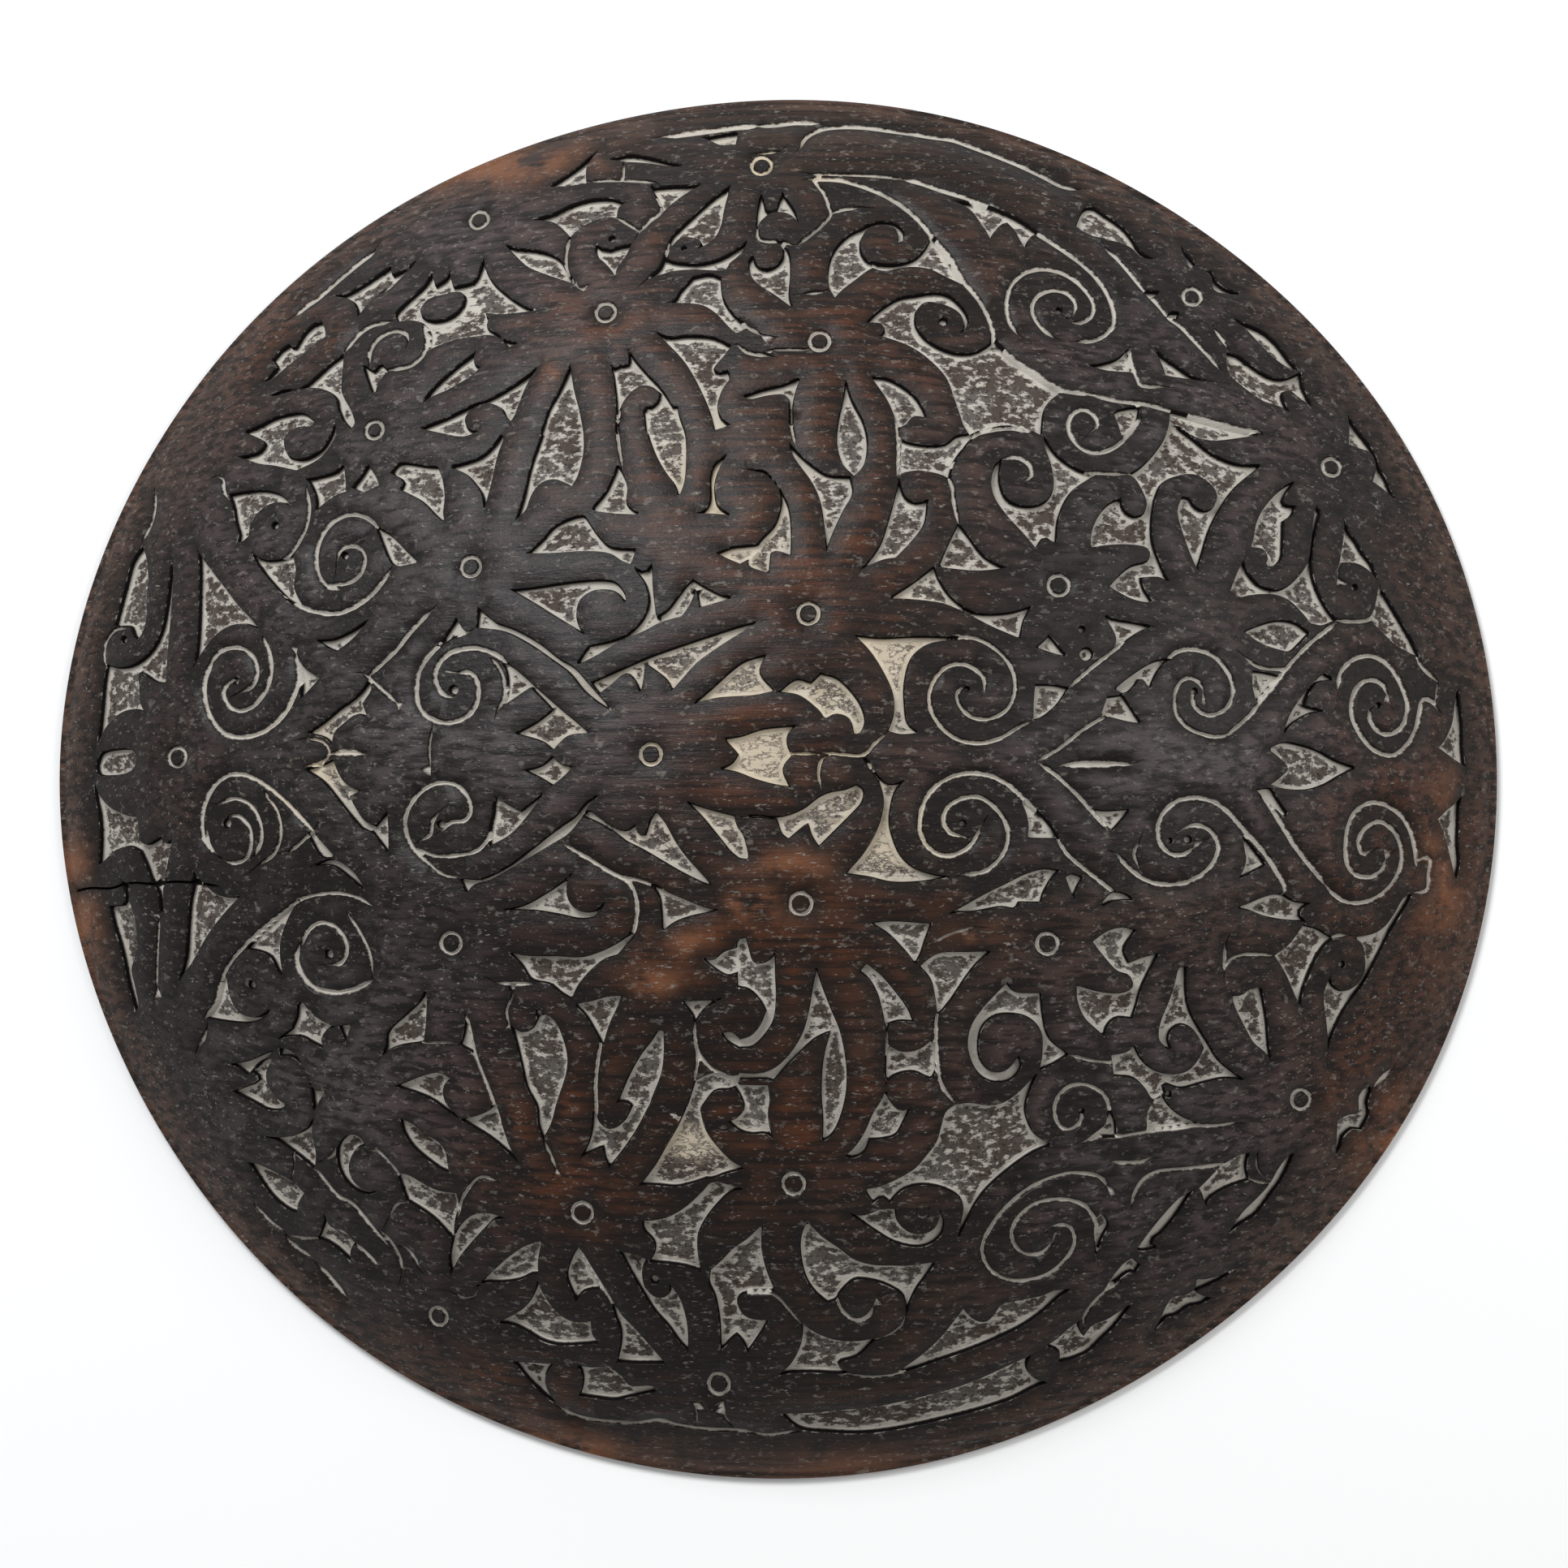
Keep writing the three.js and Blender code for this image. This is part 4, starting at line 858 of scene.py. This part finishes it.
def circle_path(text, flip, inset, step):
    x, y, radius = [float(part) for part in text.split(",")]
    radius -= inset
    count = max(8, round(2 * math.pi * radius / step))
    angle = np.arange(count) * 2 * math.pi / count
    return np.stack([x + radius * np.cos(angle), y * flip + radius * np.sin(angle)], 1)


def distance_to(path, points, closed):
    """Distance from each point to a path, and for a closed path whether the point is inside it."""
    a = path if closed else path[:-1]
    b = np.roll(path, -1, axis=0) if closed else path[1:]
    along = b - a
    square = np.maximum(np.sum(along ** 2, axis=1), 1e-9)
    best = np.full(len(points), 1e9)
    place = np.zeros(len(points))
    crossings = np.zeros(len(points), int)
    for i in range(len(a)):
        t = np.clip(((points - a[i]) @ along[i]) / square[i], 0, 1)
        away = np.sum((points - a[i] - t[:, None] * along[i]) ** 2, axis=1)
        nearer = away < best
        best[nearer] = away[nearer]
        place[nearer] = i + t[nearer]
        if closed:
            spans = (a[i, 1] > points[:, 1]) != (b[i, 1] > points[:, 1])
            rise = along[i, 1] if along[i, 1] else 1e-9
            x = a[i, 0] + (points[:, 1] - a[i, 1]) * along[i, 0] / rise
            crossings += spans & (points[:, 0] < x)
    return np.sqrt(best), place, crossings % 2 == 1


class Cuts:
    """All cuts of the face, with how far a point lies inside the nearest pocket or groove."""

    def __init__(self):
        self.pockets = []
        self.grooves = []
        for flip, pockets, grooves, pits, rings in (
            (1, POCKETS, GROOVES, PITS, RINGS),
            (-1, LOWER_POCKETS, LOWER_GROOVES, LOWER_PITS, LOWER_RINGS),
        ):
            self.pockets += [closed_path(text, flip, ROW_STEP) for text in pockets]
            self.pockets += [circle_path(text, flip, 0, ROW_STEP) for text in pits]
            for width, text in grooves:
                self.grooves.append((width * GROOVE_WIDENING, open_path(text, flip, ROW_STEP), False))
            for text in rings:
                path = circle_path(text, flip, RING_WIDTH / 2, RING_STEP)
                self.grooves.append((RING_WIDTH, path, True))
        self.islands = [closed_path(text, 1, ROW_STEP) for text in ISLANDS]
        self.cracks = [(width, open_path(text, -1, ROW_STEP), False) for width, text in LOWER_CRACKS]

    def measure(self, points, reach):
        """How deep inside the pockets and the grooves each point is; negative is the distance outside."""
        pocket = np.full(len(points), -reach)
        groove = np.full(len(points), -reach)
        ratio = np.full(len(points), -reach)
        for path in self.pockets:
            near = close_to(path, points, reach)
            away, _, inside = distance_to(path, points[near], True)
            pocket[near] = np.maximum(pocket[near], np.where(inside, away, -away))
        for path in self.islands:
            near = close_to(path, points, reach)
            away, _, inside = distance_to(path, points[near], True)
            pocket[near] = np.minimum(pocket[near], np.where(inside, -away, away))
        for width, path, closed in self.grooves + self.cracks:
            near = close_to(path, points, reach)
            away, place, _ = distance_to(path, points[near], closed)
            half = groove_half_width(width, path, place, closed)
            groove[near] = np.maximum(groove[near], half - away)
            ratio[near] = np.maximum(ratio[near], 1 - away / half)
        return pocket, groove, ratio

    def crack(self, points):
        """How far into a crack each point lies, from 0 at its sides to 1 in its middle."""
        ratio = np.zeros(len(points))
        for width, path, closed in self.cracks:
            near = close_to(path, points, width)
            away, place, _ = distance_to(path, points[near], closed)
            half = groove_half_width(width, path, place, closed)
            ratio[near] = np.maximum(ratio[near], 1 - away / half)
        return ratio

    def rows(self):
        """Points for the mesh and how deep each should lie in its cut: edges, feet, lime and centre lines."""
        rows = []
        for path in self.pockets + self.islands:
            inward = path_normal(path, True)
            for depth in (0.0, WALL_RUN, LIME_REACH):
                rows.append((path + inward * depth, np.full(len(path), depth)))
            rows.append((path[::2] + inward[::2] * 0.3, np.full(len(path[::2]), 0.3)))
        for path in self.islands:
            rows.append((path - path_normal(path, True) * WALL_RUN, np.full(len(path), WALL_RUN)))
        for width, path, closed in self.grooves + self.cracks:
            side = path_normal(path, closed)
            half = groove_half_width(width, path, np.arange(len(path)), closed)
            rows.append((path, half))
            rows.append((path + side * half[:, None], np.zeros(len(path))))
            rows.append((path - side * half[:, None], np.zeros(len(path))))
        return np.vstack([row for row, _ in rows]), np.concatenate([depth for _, depth in rows])


def close_to(path, points, reach):
    low = path.min(axis=0) - reach
    high = path.max(axis=0) + reach
    return np.all((points > low) & (points < high), axis=1)


def path_normal(path, closed):
    """The unit vector to the left of the path at each of its points."""
    if closed:
        along = np.roll(path, -1, axis=0) - np.roll(path, 1, axis=0)
    else:
        along = np.gradient(path, axis=0)
    along /= np.maximum(np.linalg.norm(along, axis=1), 1e-9)[:, None]
    return np.stack([-along[:, 1], along[:, 0]], 1)


def groove_half_width(width, path, place, closed):
    if closed:
        return np.full(len(place), width / 2)
    from_end = np.minimum(place, len(path) - 1 - place) * ROW_STEP
    return width / 2 * np.clip(0.35 + from_end / TAPER, 0.35, 1)


def thin_out(points, cell, taken=None):
    """One point for each cell of a grid; with a set of taken cells, only points with no taken neighbour."""
    keys = np.round(points / cell).astype(int)
    if taken is None:
        _, keep = np.unique(keys, axis=0, return_index=True)
        return points[np.sort(keep)]
    busy = set(map(tuple, np.round(taken / cell).astype(int)))
    steps = [(i, j) for i in (-1, 0, 1) for j in (-1, 0, 1)]
    free = [not any((x + i, y + j) in busy for i, j in steps) for x, y in keys]
    return points[np.array(free)]


def inside_outline(points, inset):
    angle = np.arctan2(points[:, 1], points[:, 0])
    return np.hypot(points[:, 0], points[:, 1]) < outline_radius(angle) * (1 - inset / MEAN_RADIUS)


def face_points(cuts):
    """The points of the carved face in plan: its outline first, then the cuts, then the plain areas."""
    rows, wanted = cuts.rows()
    pocket, groove, _ = cuts.measure(rows, ROW_REACH)
    good = np.abs(np.maximum(pocket, groove) - wanted) < DEPTH_SLACK + DEPTH_SHARE * wanted
    carved = thin_out(rows[good & inside_outline(rows, RIM_CLEAR)], ROW_CELL)
    rim = [outline_ring(inset) for inset in RIM_INSETS]
    span = np.arange(-HALF_FIELD, HALF_FIELD, FIELD_STEP)
    x, y = np.meshgrid(span, span * TRIANGLE_HEIGHT)
    x = x + FIELD_STEP / 2 * (np.arange(len(span)) % 2)[:, None]
    plain = np.stack([x.ravel(), y.ravel()], 1)
    plain = thin_out(plain[inside_outline(plain, FIELD_CLEAR)], FIELD_CELL, carved)
    return np.vstack(rim + [carved, plain])


def dome_height(points, radius):
    angle = np.arctan2(points[:, 1], points[:, 0])
    across = np.hypot(points[:, 0], points[:, 1]) * MEAN_RADIUS / outline_radius(angle)
    return DOME_CENTRE + np.sqrt(np.maximum(radius ** 2 - across ** 2, 0))


def patches(points, places):
    """How much each point lies in any of some soft-edged ovals, from 0 to 1."""
    most = np.zeros(len(points))
    for x, y, half_width, half_height in places:
        away = np.hypot((points[:, 0] - x) / half_width, (points[:, 1] - y) / half_height)
        most = np.maximum(most, np.exp(-away ** 2))
    return most


def smooth_step(x):
    x = np.clip(x, 0, 1)
    return x * x * (3 - 2 * x)


def carved_face(cuts):
    """Vertices, triangles and the finish's values of the face."""
    plan = face_points(cuts)
    found = geometry.delaunay_2d_cdt([Vector(p) for p in plan], [], [], 0, 1e-6)
    plan = np.array([tuple(v) for v in found[0]])
    faces = np.array([face for face in found[2] if not all(i < ROUND_STEPS for i in face)])
    pocket, groove, ratio = cuts.measure(plan, FACE_REACH)
    sunk = POCKET_DEPTH * np.clip(pocket / WALL_RUN, 0, 1)
    narrow = GROOVE_DEPTH * np.clip(ratio, 0, 1)
    crack = cuts.crack(plan)
    depth = np.maximum(np.maximum(sunk, narrow), CRACK_DEPTH * np.clip(2 * crack, 0, 1))
    outside = np.clip(-np.maximum(pocket, groove), 0, PILLOW_REACH)
    top = PILLOW * (smooth_step(outside / PILLOW_REACH) - 1)
    edge_wear_and_shade = EDGE_ROUNDING * np.exp(-outside / EDGE_REACH) * (depth < 0.1)
    from_rim = (1 - np.hypot(*plan.T) / outline_radius(np.arctan2(plan[:, 1], plan[:, 0]))) * MEAN_RADIUS
    turned = RIM_ROUNDING * np.exp(-np.maximum(from_rim, 0) / RIM_ROUNDING)
    lower = depth + edge_wear_and_shade - top + turned
    points = np.column_stack([plan, dome_height(plan, DOME_RADIUS)])
    normal = points - np.array([0, 0, DOME_CENTRE])
    normal /= np.linalg.norm(normal, axis=1)[:, None]
    points -= normal * lower[:, None]
    points[:ROUND_STEPS, :2] = outline_ring()
    points[:ROUND_STEPS, 2] = RIM_EDGE
    lime = np.where(pocket > 0, 1 - 0.75 * smooth_step((pocket - WALL_RUN) / (LIME_REACH - WALL_RUN)), 0)
    lime = np.where(pocket > 0.1, lime, np.clip(ratio, 0, 1))
    values = {
        "cut": np.clip(depth / POCKET_DEPTH, 0, 1),
        "lime": lime * (np.maximum(pocket, groove) > 0.1),
        # As a colour: painted shade on the tops beside the cuts
        "edge_wear_and_shade": np.exp(-outside / EDGE_SHADE_REACH) * (depth < 0.1),
        "groove": (pocket < 0.05) * np.clip(ratio, 0, 1),
        "crack": crack,
        "rim": np.exp(-(np.maximum(from_rim, 0) / RIM_REACH) ** 2),
        # painted_sheen: where the tops carry a painted highlight of the key light
        "painted_sheen": patches(plan, SHEEN_PATCHES),
        "warm": patches(plan, WARM_PATCHES),
        "worn": patches(plan, WORN_PATCHES),
        "cream": patches(plan, CREAM_PATCHES),
    }
    return points, faces, values


def shell_back():
    """Vertices and quads of the upright edge, the flat rim and the hollow, from the outline inwards."""
    hollow = DOME_RADIUS - WALL
    rim_inside = math.sqrt(hollow ** 2 - DOME_CENTRE ** 2)
    profile = [(MEAN_RADIUS, RIM_EDGE), (MEAN_RADIUS, EDGE_CHAMFER), (MEAN_RADIUS - EDGE_CHAMFER, 0)]
    for i in range(BOWL_STEPS):
        across = rim_inside * (1 - i / BOWL_STEPS)
        profile.append((across, DOME_CENTRE + math.sqrt(hollow ** 2 - across ** 2)))
    unit = outline_ring() / MEAN_RADIUS
    rows = [np.column_stack([unit * radius, np.full(ROUND_STEPS, height)]) for radius, height in profile]
    points = np.vstack(rows + [[[0, 0, DOME_CENTRE + hollow]]])
    faces = []
    for row in range(len(profile) - 1):
        for i in range(ROUND_STEPS):
            a = row * ROUND_STEPS + i
            b = row * ROUND_STEPS + (i + 1) % ROUND_STEPS
            faces.append((a, a + ROUND_STEPS, b + ROUND_STEPS, b))
    last = (len(profile) - 1) * ROUND_STEPS
    for i in range(ROUND_STEPS):
        faces.append((last + i, len(points) - 1, last + (i + 1) % ROUND_STEPS))
    return points, faces


def middle_of_outline():
    angle = np.arange(96) * 2 * math.pi / 96
    radius = outline_radius(angle)
    x = radius * np.cos(angle)
    y = radius * np.sin(angle)
    return np.array([(x.min() + x.max()) / 2, (y.min() + y.max()) / 2])


def grip_of_cad(shift):
    """The faces of the grip, taken from the CAD node: all that stand free inside the hollow."""
    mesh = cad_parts["shield"].data
    points = np.array([v.co for v in mesh.vertices]) / MM
    points[:, :2] += shift
    angle = np.arctan2(points[:, 1], points[:, 0])
    across = np.hypot(points[:, 0], points[:, 1]) * MEAN_RADIUS / outline_radius(angle)
    deep = np.hypot(across, points[:, 2] - DOME_CENTRE)
    faces = []
    for polygon in mesh.polygons:
        corners = list(polygon.vertices)
        if deep[corners].mean() < DOME_RADIUS - WALL - 0.5 and points[corners, 2].mean() > 5:
            faces.append(corners)
    used = sorted({i for face in faces for i in face})
    place = {old: new for new, old in enumerate(used)}
    return points[used], [tuple(place[i] for i in face) for face in faces]


def build_shield():
    shift = middle_of_outline()
    face, triangles, values = carved_face(Cuts())
    back, quads = shell_back()
    grip, grip_faces = grip_of_cad(shift)
    # The face and the back share the outline, which is the first ring of both.
    back_index = np.concatenate([np.arange(ROUND_STEPS), len(face) + np.arange(len(back) - ROUND_STEPS)])
    points = np.vstack([face, back[ROUND_STEPS:], grip])
    first_grip = len(points) - len(grip)
    faces = [tuple(map(int, t)) for t in triangles]
    faces += [tuple(int(back_index[i]) for i in quad) for quad in quads]
    faces += [tuple(first_grip + i for i in corners) for corners in grip_faces]
    points[:, :2] -= shift
    mesh = bpy.data.meshes.new("shield_carved")
    mesh.from_pydata((points * MM).tolist(), [], faces)
    mesh.validate()
    for name, value in values.items():
        layer = mesh.attributes.new(name, "FLOAT", "POINT")
        whole = np.zeros(len(points), np.float32)
        whole[:len(value)] = value
        layer.data.foreach_set("value", whole)
    mesh.shade_smooth()
    mesh.set_sharp_from_angle(angle=SHARP_ANGLE)
    shield = bpy.data.objects.new("shield_carved", mesh)
    bpy.context.scene.collection.objects.link(shield)
    return shield


class Nodes:
    """Short ways to add and join the nodes of one material."""

    def __init__(self, name):
        self.material = bpy.data.materials.new(name)
        self.material.use_nodes = True
        self.tree = self.material.node_tree
        self.shader = self.tree.nodes["Principled BSDF"]

    def put(self, value, socket):
        if isinstance(value, bpy.types.NodeSocket):
            self.tree.links.new(value, socket)
        else:
            socket.default_value = value

    def add(self, kind, output, inputs, **settings):
        node = self.tree.nodes.new(kind)
        for key, value in settings.items():
            setattr(node, key, value)
        for key, value in inputs.items():
            self.put(value, node.inputs[key])
        return node.outputs[output]

    def value(self, name):
        return self.add("ShaderNodeAttribute", "Fac", {}, attribute_name=name)

    def math(self, operation, a, b):
        return self.add("ShaderNodeMath", 0, {0: a, 1: b}, operation=operation)

    def ramp(self, value, low, high, to_low=0.0, to_high=1.0):
        """value from low to high, turned smoothly into to_low to to_high."""
        inputs = {0: value, 1: low, 2: high, 3: to_low, 4: to_high}
        return self.add("ShaderNodeMapRange", 0, inputs, interpolation_type="SMOOTHSTEP")

    def noise(self, scale, stretch, detail, roughness=0.55):
        place = self.add("ShaderNodeTexCoord", "Object", {})
        place = self.add("ShaderNodeVectorMath", 0, {0: place, 1: stretch}, operation="MULTIPLY")
        inputs = {"Vector": place, "Scale": scale, "Detail": detail, "Roughness": roughness}
        return self.add("ShaderNodeTexNoise", 0, inputs)

    def mix(self, amount, a, b):
        node = self.tree.nodes.new("ShaderNodeMix")
        node.data_type = "RGBA"
        self.put(amount, node.inputs[0])
        self.put(a, node.inputs[6])
        self.put(b, node.inputs[7])
        return node.outputs[2]


def colour(red, green, blue):
    return (red, green, blue, 1.0)


TOP_DARK = colour(0.0055, 0.0032, 0.0023)
TOP_BROWN = colour(0.0300, 0.0145, 0.0088)
# Painted sheen: the pale cool grey of the key light's reflection on the tops
TOP_SHEEN = colour(0.0560, 0.0455, 0.0470)
TOP_WARM = colour(0.0560, 0.0175, 0.0062)
TOP_RIM = colour(0.0560, 0.0300, 0.0205)
TOP_GRAIN = colour(0.0030, 0.0022, 0.0019)
TOP_FINE = colour(0.0400, 0.0300, 0.0240)
TOP_WORN = colour(0.1300, 0.0520, 0.0240)
# Painted shade: the tops darkened along the cuts' edges
TOP_EDGE_SHADE = colour(0.0045, 0.0034, 0.0028)
PORE = colour(0.165, 0.152, 0.136)
FLOOR_BROWN = colour(0.078, 0.060, 0.051)
FLOOR_GREY = colour(0.135, 0.122, 0.111)
FLOOR_PALE = colour(0.235, 0.217, 0.195)
FLOOR_DARK = colour(0.026, 0.021, 0.018)
LIME_COOL = colour(0.360, 0.336, 0.298)
LIME_WARM = colour(0.465, 0.400, 0.305)
# Dark bare wood on the pockets' walls together with painted shade; in the crack, painted shade only
CREASE_WOOD_AND_SHADE = colour(0.004, 0.003, 0.003)


def top_colour(n, spots, fine):
    """The bands: dark and brown figure, grain along X, worn and pale places, a painted sheen, and painted
    shade along their edges. Also the pores.
    """
    broad = n.noise(7, (1, 1, 1), 4)
    grain = n.noise(20, (1, 22, 22), 5)
    base = n.mix(n.ramp(broad, 0.38, 0.64), TOP_DARK, TOP_BROWN)
    # Painted sheen: the tops turn a pale cool grey in the sheen ovals
    base = n.mix(n.math("MULTIPLY", n.value("painted_sheen"), 0.8), base, TOP_SHEEN)
    warm = n.math("MULTIPLY", n.value("warm"), n.ramp(spots, 0.35, 0.65, 0.35, 1.0))
    base = n.mix(warm, base, TOP_WARM)
    on_rim = n.math("MULTIPLY", n.value("rim"), n.ramp(spots, 0.3, 0.6, 0.35, 1.0))
    base = n.mix(on_rim, base, TOP_RIM)
    base = n.mix(n.ramp(grain, 0.40, 0.62, 0.0, 0.85), base, TOP_GRAIN)
    base = n.mix(n.ramp(fine, 0.5, 0.75, 0.0, 0.25), base, TOP_FINE)
    broken = n.ramp(n.math("ADD", spots, n.math("MULTIPLY", fine, 0.4)), 0.52, 0.74)
    base = n.mix(n.math("MULTIPLY", n.value("worn"), broken), base, TOP_WORN)
    pore = n.ramp(n.noise(330, (1, 3.2, 3.2), 2), 0.64, 0.72)
    pore = n.math("MULTIPLY", pore, n.ramp(spots, 0.3, 0.6, 0.2, 0.8))
    base = n.mix(pore, base, PORE)
    # Painted shade along the tops' edges beside the cuts
    return n.mix(n.math("MULTIPLY", n.value("edge_wear_and_shade"), 0.8), base, TOP_EDGE_SHADE), pore


def floor_colour(n, spots, mottle, speckle):
    """The pockets' floors: mottled grey and brown, darker away from the walls, cream in places."""
    floor = n.mix(n.ramp(spots, 0.4, 0.62), FLOOR_BROWN, FLOOR_GREY)
    floor = n.mix(n.ramp(mottle, 0.51, 0.70), floor, FLOOR_PALE)
    floor = n.mix(n.ramp(speckle, 0.50, 0.64, 0.0, 0.9), floor, FLOOR_DARK)
    floor = n.mix(n.ramp(n.value("lime"), 0.25, 0.6, 0.45, 0.0), floor, FLOOR_DARK)
    cream = n.math("MULTIPLY", n.value("cream"), n.ramp(mottle, 0.40, 0.58, 1.0, 0.2))
    return n.mix(n.ramp(cream, 0.25, 0.75, 0.0, 0.8), floor, LIME_WARM)


def add_lime(n, base, spots, mottle):
    """Pale lime at the feet of the walls and in the grooves."""
    unevenness = n.ramp(n.value("groove"), 0.0, 0.2, 0.8, 0.3)
    unevenness = n.math("MULTIPLY", unevenness, n.ramp(mottle, 0.35, 0.65, -0.5, 0.5))
    rough_lime = n.math("ADD", n.value("lime"), unevenness)
    lime = n.math("MULTIPLY", n.ramp(rough_lime, 0.30, 0.72), n.ramp(spots, 0.25, 0.5, 0.55, 1.0))
    return n.mix(lime, base, n.mix(n.value("cream"), LIME_COOL, LIME_WARM))


def add_creases(n, base):
    """Black on the pockets' walls, where dark bare wood is deepened by painted shade, and painted shade in
    the crack.
    """
    above_foot = n.ramp(n.value("cut"), 0.6, 0.97, 1.0, 0.0)
    on_wall = n.math("MULTIPLY", n.ramp(n.value("cut"), 0.03, 0.25), above_foot)
    on_wall = n.math("MULTIPLY", on_wall, n.ramp(n.value("groove"), 0.0, 0.2, 1.0, 0.0))
    in_crack = n.ramp(n.value("crack"), 0.0, 0.2)
    return n.mix(n.math("MAXIMUM", on_wall, in_crack), base, CREASE_WOOD_AND_SHADE)


def carved_wood():
    """Old dark hardwood: nearly black on top, mottled grey in the cuts, with pale lime at their feet."""
    n = Nodes("carved_wood")
    fine = n.noise(60, (1, 14, 14), 4, 0.7)
    speckle = n.noise(800, (1, 1, 1), 3, 0.65)
    mottle = n.noise(460, (0.6, 1, 1), 4, 0.7)
    spots = n.noise(60, (1, 1, 1), 4)
    base, pore = top_colour(n, spots, fine)
    base = n.mix(n.ramp(n.value("cut"), 0.55, 0.95), base, floor_colour(n, spots, mottle, speckle))
    base = add_creases(n, add_lime(n, base, spots, mottle))
    n.put(base, n.shader.inputs["Base Color"])
    n.put(n.ramp(n.value("cut"), 0.0, 0.3, 0.40, 0.9), n.shader.inputs["Roughness"])
    n.put(n.ramp(n.value("cut"), 0.0, 0.3, 0.16, 0.05), n.shader.inputs["Specular IOR Level"])
    height = n.math("ADD", n.math("MULTIPLY", fine, 1.1), n.math("MULTIPLY", speckle, 0.5))
    height = n.math("SUBTRACT", n.math("ADD", height, n.math("MULTIPLY", mottle, 0.6)), pore)
    bump = n.add("ShaderNodeBump", 0, {"Height": height, "Strength": 0.45, "Distance": 0.0005})
    n.put(bump, n.shader.inputs["Normal"])
    return n.material


# The studio, in metres and watts
FLOOR_HALF = 4
FLOOR_WHITE = colour(0.69, 0.69, 0.69)
WORLD_LIGHT = 0.6
KEY_PLACE = (-0.75, 1.35, 1.7)
KEY_SIZE = 1.1
KEY_LIGHT = 57
KEY_TINT = (0.96, 0.98, 1.0)
SIDE_PLACE = (1.5, 0.5, 1.3)
SIDE_SIZE = 0.9
SIDE_LIGHT = 14
SIDE_TINT = (1.0, 0.99, 0.97)


def plain_floor():
    mesh = bpy.data.meshes.new("floor")
    corners = [(-FLOOR_HALF, -FLOOR_HALF, 0), (FLOOR_HALF, -FLOOR_HALF, 0)]
    corners += [(FLOOR_HALF, FLOOR_HALF, 0), (-FLOOR_HALF, FLOOR_HALF, 0)]
    mesh.from_pydata(corners, [], [(0, 1, 2, 3)])
    floor = bpy.data.objects.new("floor", mesh)
    floor.location.z = cad_low.z
    material = bpy.data.materials.new("floor")
    material.use_nodes = True
    shader = material.node_tree.nodes["Principled BSDF"]
    shader.inputs["Base Color"].default_value = FLOOR_WHITE
    shader.inputs["Roughness"].default_value = 0.9
    mesh.materials.append(material)
    bpy.context.scene.collection.objects.link(floor)
    return floor


def soft_light(name, place, size, power, tint):
    data = bpy.data.lights.new(name, "AREA")
    data.shape = "DISK"
    data.size = size
    data.energy = power
    data.color = tint
    light = bpy.data.objects.new(name, data)
    light.location = place
    light.rotation_euler = (-Vector(place)).to_track_quat("-Z", "Y").to_euler()
    bpy.context.scene.collection.objects.link(light)


def studio():
    world = bpy.data.worlds.new("studio")
    world.use_nodes = True
    world.node_tree.nodes["Background"].inputs["Color"].default_value = colour(1, 1, 1)
    world.node_tree.nodes["Background"].inputs["Strength"].default_value = WORLD_LIGHT
    bpy.context.scene.world = world
    bpy.context.scene.view_settings.view_transform = "Standard"
    soft_light("key", KEY_PLACE, KEY_SIZE, KEY_LIGHT, KEY_TINT)
    soft_light("side", SIDE_PLACE, SIDE_SIZE, SIDE_LIGHT, SIDE_TINT)


# The camera: nearly overhead, as far off as this lens needs
VIEW_DISTANCE = 1.6
VIEW_TILT = math.radians(4.11)
VIEW_YAW = math.radians(-3.69)
VIEW_ROLL = math.radians(-0.14)
FIELD_WIDTH = 0.5256  # what the picture spans at that distance
SENSOR = 36
SHIFT = (0.00745, -0.0024)


def photo_camera():
    view = (Matrix.Rotation(-VIEW_ROLL, 3, "Z") @ Matrix.Rotation(VIEW_YAW, 3, "Y")
            @ Matrix.Rotation(-VIEW_TILT, 3, "X"))
    data = bpy.data.cameras.new("camera")
    data.sensor_width = SENSOR
    data.lens = SENSOR * VIEW_DISTANCE / FIELD_WIDTH
    data.shift_x, data.shift_y = SHIFT
    camera = bpy.data.objects.new("camera", data)
    turn = view.transposed()
    shift = middle_of_outline() * MM
    place = turn @ Vector((0, 0, VIEW_DISTANCE)) + Vector((-shift[0], -shift[1], RIM_EDGE * MM))
    camera.matrix_world = Matrix.Translation(place) @ turn.to_4x4()
    bpy.context.scene.collection.objects.link(camera)
    bpy.context.scene.camera = camera


shield = build_shield()
shield.data.materials.append(carved_wood())
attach(shield, "root")
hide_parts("shield")
plain_floor()
studio()
photo_camera()
